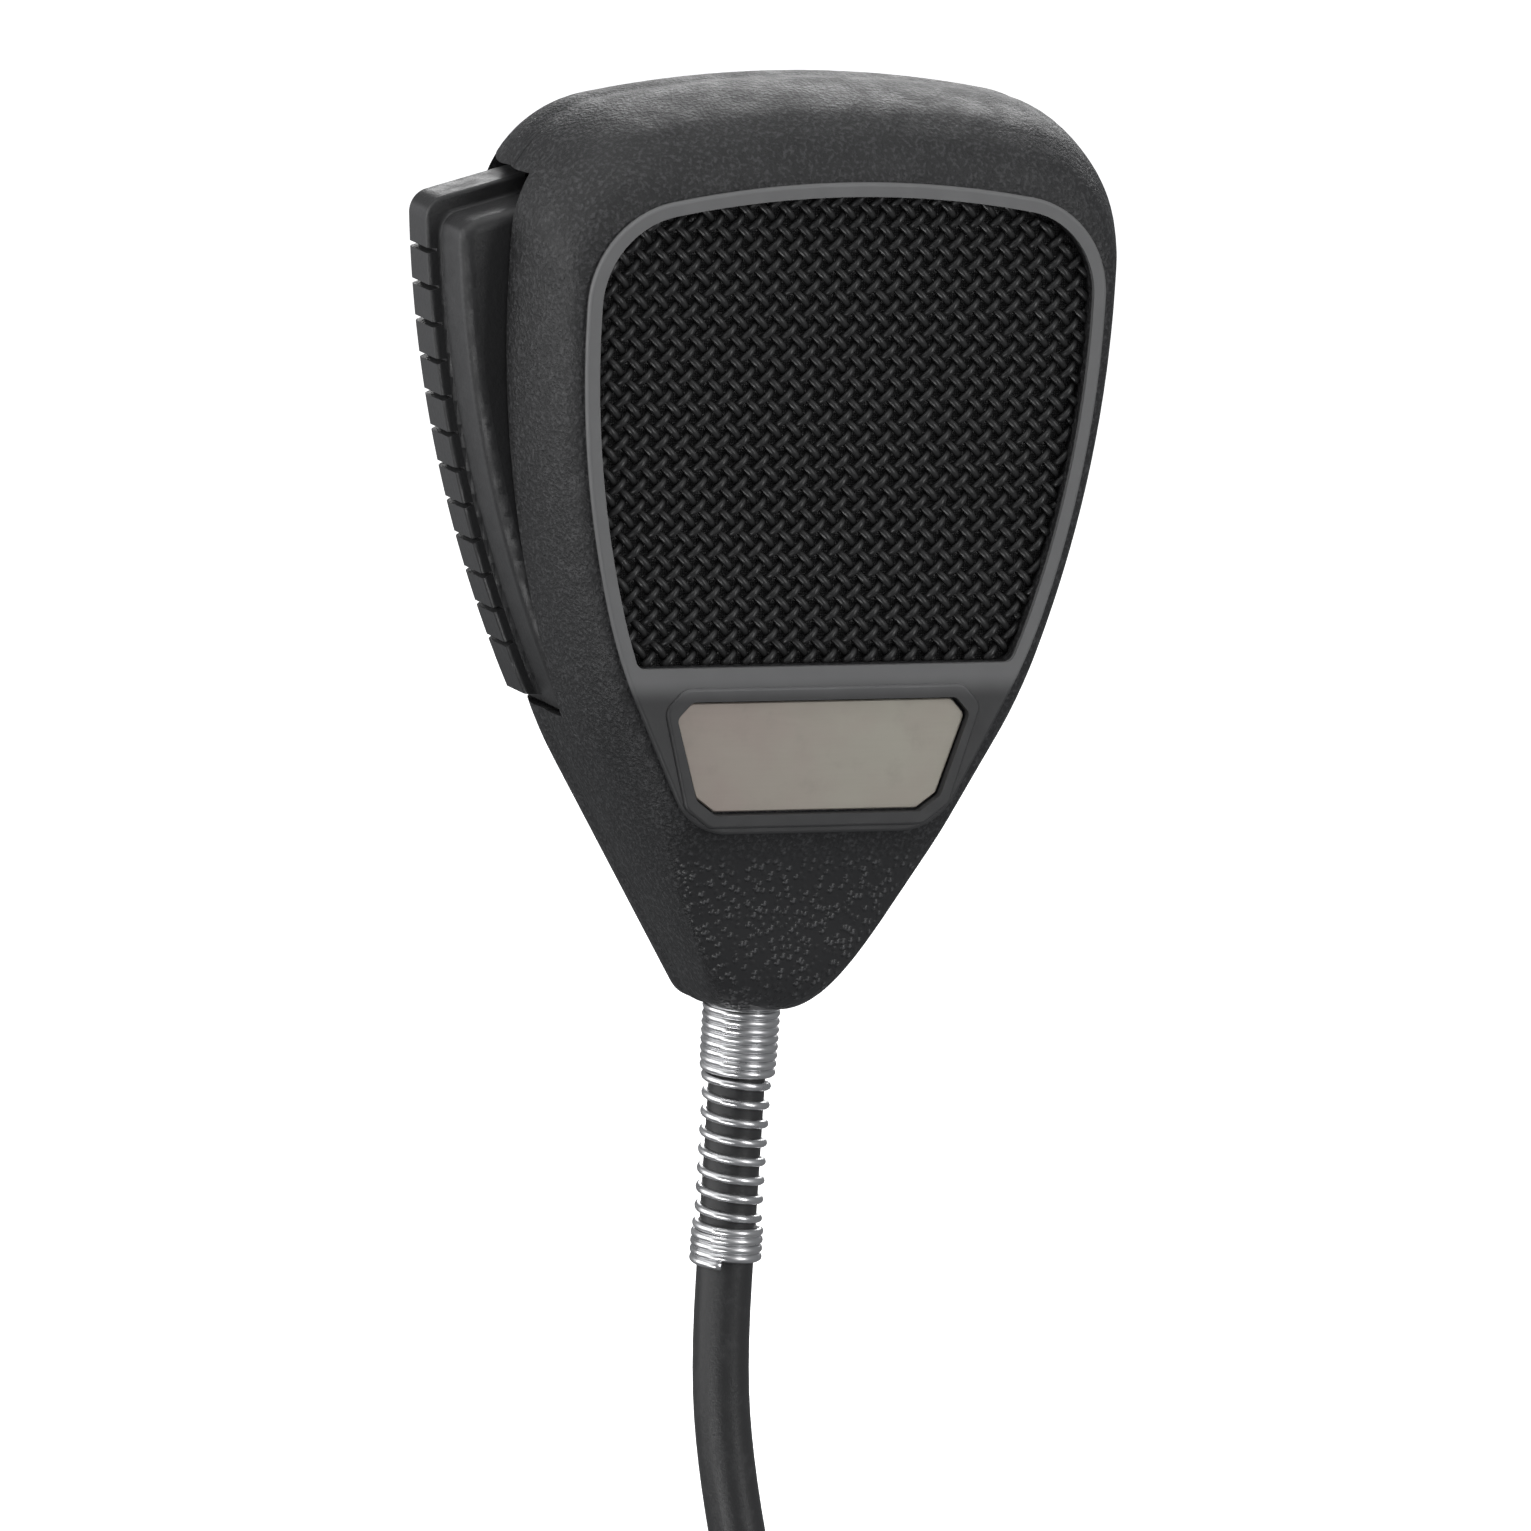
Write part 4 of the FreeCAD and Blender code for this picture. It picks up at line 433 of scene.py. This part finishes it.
MATERIALS = {
    "case_plastic": case_plastic(),
    "lever_plastic": lever_plastic(),
    "grille_wire": grille_wire(),
    "grille_cloth": grille_cloth(),
    "inner_plastic": satin_plastic("inner_plastic", (0.024, 0.024, 0.024), 0.5),
    "plate_metal": plate_metal(),
    "steel_fasteners": metal("steel_fasteners", (0.56, 0.56, 0.57), 0.30, size=0.25, depth=0.006),
    "button_metal": metal("button_metal", (0.68, 0.68, 0.69), 0.18, run=(1, 0.1, 1), size=0.5, depth=0.003),
    "plunger_plastic": satin_plastic("plunger_plastic", (0.45, 0.04, 0.03), 0.25),
    "brass_contacts": metal("brass_contacts", (0.78, 0.58, 0.26), 0.24, run=(1, 1, 0.1), size=0.3),
    "capsule_iron": metal("capsule_iron", (0.40, 0.40, 0.40), 0.38, size=0.5, depth=0.01),
    "coil_copper": metal("coil_copper", (0.75, 0.36, 0.20), 0.30, run=(0.1, 1, 0.1), size=0.12, depth=0.03),
    "diaphragm_film": satin_plastic("diaphragm_film", (0.50, 0.50, 0.52), 0.18, grain=0.8, depth=0.004),
    "capsule_plastic": satin_plastic("capsule_plastic", (0.03, 0.03, 0.03), 0.45),
    "soft_rubber": rubber("soft_rubber", (0.022, 0.022, 0.022)),
    "wire_insulation": rubber("wire_insulation", (0.32, 0.06, 0.05), 0.4),
    "cord_jacket": cord_jacket(),
    "spring_steel": metal("spring_steel", (0.90, 0.90, 0.91), 0.33, size=0.3, depth=0.004),
    "tie_strap": tie_strap(),
    "plug_metal": metal("plug_metal", (0.66, 0.66, 0.65), 0.22, run=(0.2, 0.2, 1), size=0.3, depth=0.004),
    "insert_plastic": satin_plastic("insert_plastic", (0.03, 0.025, 0.02), 0.35),
}


def dress_nodes():
    """Each CAD node takes the material of its slot in the record."""
    for node in nodes.values():
        for holder in node.material_slots:
            slot = holder.material.name.split(".")[0]
            holder.material = MATERIALS[slot]


# ---------------------------------------------------------------- mesh helpers


class Tubes:
    """Vertices and faces of round tubes, gathered into one mesh."""

    def __init__(self):
        self.vertices = []
        self.faces = []

    def add(self, points, sides, radius, corners):
        """A capped tube through points, with one side direction for each."""
        first = len(self.vertices)
        last = len(points) - 1
        for i, point in enumerate(points):
            way = (points[min(i + 1, last)] - points[max(i - 1, 0)]).normalized()
            side = (sides[i] - way * sides[i].dot(way)).normalized()
            other = way.cross(side)
            for k in range(corners):
                turn = 2 * math.pi * k / corners
                self.vertices.append(point + side * (radius * math.cos(turn))
                                     + other * (radius * math.sin(turn)))
        for i in range(last):
            for k in range(corners):
                a = first + i * corners + k
                b = first + i * corners + (k + 1) % corners
                self.faces.append((a, b, b + corners, a + corners))
        self.faces.append(tuple(first + k for k in reversed(range(corners))))
        end = first + last * corners
        self.faces.append(tuple(end + k for k in range(corners)))

    def build(self, name, slot):
        return make_piece(name, self.vertices, self.faces, slot)


def make_piece(name, vertices, faces, slot):
    """A smooth mesh piece with its material, riding on the microphone."""
    mesh = bpy.data.meshes.new(name)
    mesh.from_pydata(vertices, [], faces)
    mesh.validate()
    mesh.polygons.foreach_set("use_smooth", [True] * len(mesh.polygons))
    mesh.materials.append(MATERIALS[slot])
    piece = bpy.data.objects.new(name, mesh)
    bpy.context.scene.collection.objects.link(piece)
    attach(piece, "microphone")
    return piece


# ---------------------------------------------------------------- woven grille

WIRE_PITCH = 1.56
WIRE_RADIUS = 0.38
WEAVE_DEPTH = -12.75
STEPS_PER_PITCH = 4
WIRE_CORNERS = 8
EDGE_COVERED = 0.75


def make_grille():
    """Crimped wires crossing at right angles, over and under, cut to the opening."""
    low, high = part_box("grille")
    middle = (low + high) / 2
    reach = (high - low).length
    outline = BVHTree.FromObject(nodes["grille"], bpy.context.evaluated_depsgraph_get())
    tubes = Tubes()
    step = WIRE_PITCH * MM / STEPS_PER_PITCH
    weave = Vector((0.0, at(0, WEAVE_DEPTH, 0).y - middle.y, 0.0))
    wires = round(reach / (WIRE_PITCH * MM) / 2)
    for slant, over in ((Vector((1, 0, 1)), 1), (Vector((-1, 0, 1)), -1)):
        way = slant.normalized()
        across = Vector((0, 1, 0)).cross(way) * over
        for index in range(-wires, wires + 1):
            line = middle + across * (index * WIRE_PITCH * MM)
            start = outline.ray_cast(line - way * reach, way)[0]
            stop = outline.ray_cast(line + way * reach, -way)[0]
            if start is None or stop is None:
                continue
            from_step = math.ceil(((start - line).dot(way) + EDGE_COVERED * MM) / step)
            to_step = math.floor(((stop - line).dot(way) - EDGE_COVERED * MM) / step)
            if to_step - from_step < STEPS_PER_PITCH:
                continue
            points = []
            for k in range(from_step, to_step + 1):
                wave = math.cos(math.pi * k / STEPS_PER_PITCH) * (-1) ** index * over
                rise = Vector((0, WIRE_RADIUS * MM * wave, 0))
                points.append(line + way * (k * step) + weave + rise)
            tubes.add(points, [across] * len(points), WIRE_RADIUS * MM, WIRE_CORNERS)
    grille = tubes.build("woven_grille", "grille_wire")
    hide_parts("grille")


# ---------------------------------------------------------------- armour spring

SPRING_RADIUS = 0.44
SPRING_STEPS = 28
SPRING_CORNERS = 10
SPRING_STAGES = (
    # turns, pitch, radius of the wire's line at the start and at the end
    (13.5, 0.87, 3.56, 3.50),
    (2.6, 0.87, 3.50, 3.40),
    (0.6, 1.40, 3.40, 3.06),
    (7.4, 1.94, 3.06, 3.02),
    (0.6, 1.30, 3.02, 3.24),
    (4.0, 0.87, 3.24, 3.22),
)
SPRING_TOP = 6.9


def make_spring():
    """Strain relief wound from one wire: close turns, eight open turns, close turns."""
    points, sides = [], []
    turned, height = 0.0, SPRING_TOP
    for turns, pitch, first, last in SPRING_STAGES:
        count = round(turns * SPRING_STEPS)
        for k in range(count):
            share = k / count
            angle = 2 * math.pi * (turned + turns * share)
            radius = first + (last - first) * share
            side = Vector((math.cos(angle), math.sin(angle), 0.0))
            points.append(at(radius * side.x, radius * side.y, height - pitch * turns * share))
            sides.append(side)
        turned += turns
        height -= pitch * turns
    tubes = Tubes()
    tubes.add(points, sides, SPRING_RADIUS * MM, SPRING_CORNERS)
    spring = tubes.build("armour_spring_wire", "spring_steel")
    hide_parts("armour_spring")


# ---------------------------------------------------------------- strap round the coil

STRAP_THICKNESS = 1.2
STRAP_TURN = math.radians(18.0)
STRAP_CORNER = 3.2
STRAP_ACROSS = 12
STRAP_GAP = 0.05
STRAP_EDGE_THINNING = 0.28
STRAP_CORNER_STEPS = 6


def strap_loop(grow):
    """A rounded rectangle round the coil's section: (depth, distance from the coil's axis)."""
    half_y = TURN_PITCH * COIL_TURNS / 4 + CORD_DIAMETER / 2 + STRAP_GAP
    half_r = TURN_PITCH / 2 + CORD_DIAMETER / 2 + STRAP_GAP
    corner = STRAP_CORNER + grow
    points = []
    for quarter, (sy, sr) in enumerate(((1, 1), (-1, 1), (-1, -1), (1, -1))):
        cy = COIL_CENTRE[1] + sy * (half_y + grow - corner)
        cr = COIL_RADIUS + sr * (half_r + grow - corner)
        for k in range(STRAP_CORNER_STEPS + 1):
            angle = math.pi / 2 * (quarter + k / STRAP_CORNER_STEPS)
            points.append((cy + corner * math.cos(angle), cr + corner * math.sin(angle)))
    return points


def make_strap():
    """A soft strap bent round all the turns at the top of the coil."""
    vertices, faces = [], []
    inner, outer = strap_loop(STRAP_GAP), strap_loop(STRAP_THICKNESS)
    around = len(inner)
    rows = STRAP_ACROSS + 1
    for loop, sign in ((inner, -1), (outer, 1)):
        for j in range(rows):
            share = 2 * j / STRAP_ACROSS - 1
            angle = math.pi / 2 + share * STRAP_TURN / 2
            thin = STRAP_EDGE_THINNING * share ** 6
            for k, (y, r) in enumerate(loop):
                mate = (outer if sign < 0 else inner)[k]
                y, r = y + (mate[0] - y) * thin, r + (mate[1] - r) * thin
                vertices.append(at(COIL_CENTRE[0] + r * math.cos(angle), y,
                                   COIL_CENTRE[2] + r * math.sin(angle)))
    shell = rows * around
    for j in range(STRAP_ACROSS):
        for k in range(around):
            a, b = j * around + k, j * around + (k + 1) % around
            faces.append((a, b, b + around, a + around))
            faces.append((shell + a + around, shell + b + around, shell + b, shell + a))
    for row, flip in ((0, False), (STRAP_ACROSS, True)):
        for k in range(around):
            a, b = row * around + k, row * around + (k + 1) % around
            edge = (a, shell + a, shell + b, b)
            faces.append(tuple(reversed(edge)) if flip else edge)
    strap = make_piece("cord_tie_strap", vertices, faces, "tie_strap")
    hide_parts("cord_tie")
    return strap


# ---------------------------------------------------------------- stage and light

FLOOR_DROP = 0.012
FLOOR_RADIUS = 40.0
FLOOR_SIDES = 96
FLOOR_GLOW = 0.9
SUN_STRENGTH = 0.35
SUN_SPREAD = math.radians(40.0)
SUN_TURN = (math.radians(-12.0), math.radians(10.0), 0.0)
SKY_COLOUR = (0.95, 0.97, 1.0, 1.0)
SKY_STRENGTH = 0.18


def make_floor():
    """A wide pale floor under the hanging object."""
    level = cad_box[0].z - FLOOR_DROP
    rim = [(FLOOR_RADIUS * math.cos(2 * math.pi * k / FLOOR_SIDES),
            FLOOR_RADIUS * math.sin(2 * math.pi * k / FLOOR_SIDES), level)
           for k in range(FLOOR_SIDES)]
    mesh = bpy.data.meshes.new("floor")
    mesh.from_pydata(rim, [], [tuple(range(FLOOR_SIDES))])
    s = Surface("floor", (0.86, 0.86, 0.86), 0.9, specular=0.1)
    tone = s.blend(s.noise(400.0, 2.0), (0.85, 0.85, 0.85), (0.88, 0.88, 0.88))
    s.shader.inputs["Emission Color"].default_value = (1.0, 1.0, 1.0, 1.0)
    s.shader.inputs["Emission Strength"].default_value = FLOOR_GLOW
    mesh.materials.append(s.finish(tone))
    floor = bpy.data.objects.new("floor", mesh)
    bpy.context.scene.collection.objects.link(floor)
    floor.visible_diffuse = False
    floor.visible_glossy = False


LIGHTS = (
    # name, azimuth, elevation, distance, width, height, watts
    ("key", 30.0, 20.0, 1.0, 0.30, 0.8, 3.0),
    ("fill", -100.0, 10.0, 1.2, 1.3, 1.2, 9.0),
    ("low", -55.0, -30.0, 1.2, 0.9, 0.6, 9.0),
    ("top", -60.0, 68.0, 1.0, 0.7, 0.7, 2.1),
    ("back", 150.0, 30.0, 1.3, 0.8, 0.6, 6.0),
)


def make_lights():
    """Soft boxes round the object and an even sky."""
    middle = (cad_box[0] + cad_box[1]) / 2
    for name, azimuth, elevation, distance, width, height, watts in LIGHTS:
        data = bpy.data.lights.new(name, "AREA")
        data.shape = "RECTANGLE"
        data.size = width
        data.size_y = height
        data.energy = watts
        light = bpy.data.objects.new(name, data)
        bpy.context.scene.collection.objects.link(light)
        a, e = math.radians(azimuth), math.radians(elevation)
        way = Vector((math.sin(a) * math.cos(e), -math.cos(a) * math.cos(e), math.sin(e)))
        light.location = middle + way * distance
        light.rotation_mode = "QUATERNION"
        light.rotation_quaternion = way.to_track_quat("Z", "Y")
        light.visible_camera = False
    sun = bpy.data.lights.new("sun", "SUN")
    sun.energy = SUN_STRENGTH
    sun.angle = SUN_SPREAD
    lamp = bpy.data.objects.new("sun", sun)
    bpy.context.scene.collection.objects.link(lamp)
    lamp.rotation_euler = SUN_TURN
    world = bpy.data.worlds.new("studio")
    world.use_nodes = True
    sky = world.node_tree.nodes["Background"]
    sky.inputs["Color"].default_value = SKY_COLOUR
    sky.inputs["Strength"].default_value = SKY_STRENGTH
    bpy.context.scene.world = world
    bpy.context.scene.view_settings.view_transform = "Standard"


make_camera()
cord = make_cord()
dress_nodes()
cord.data.materials.append(MATERIALS["cord_jacket"])
make_grille()
make_spring()
strap = make_strap()
make_floor()
make_lights()
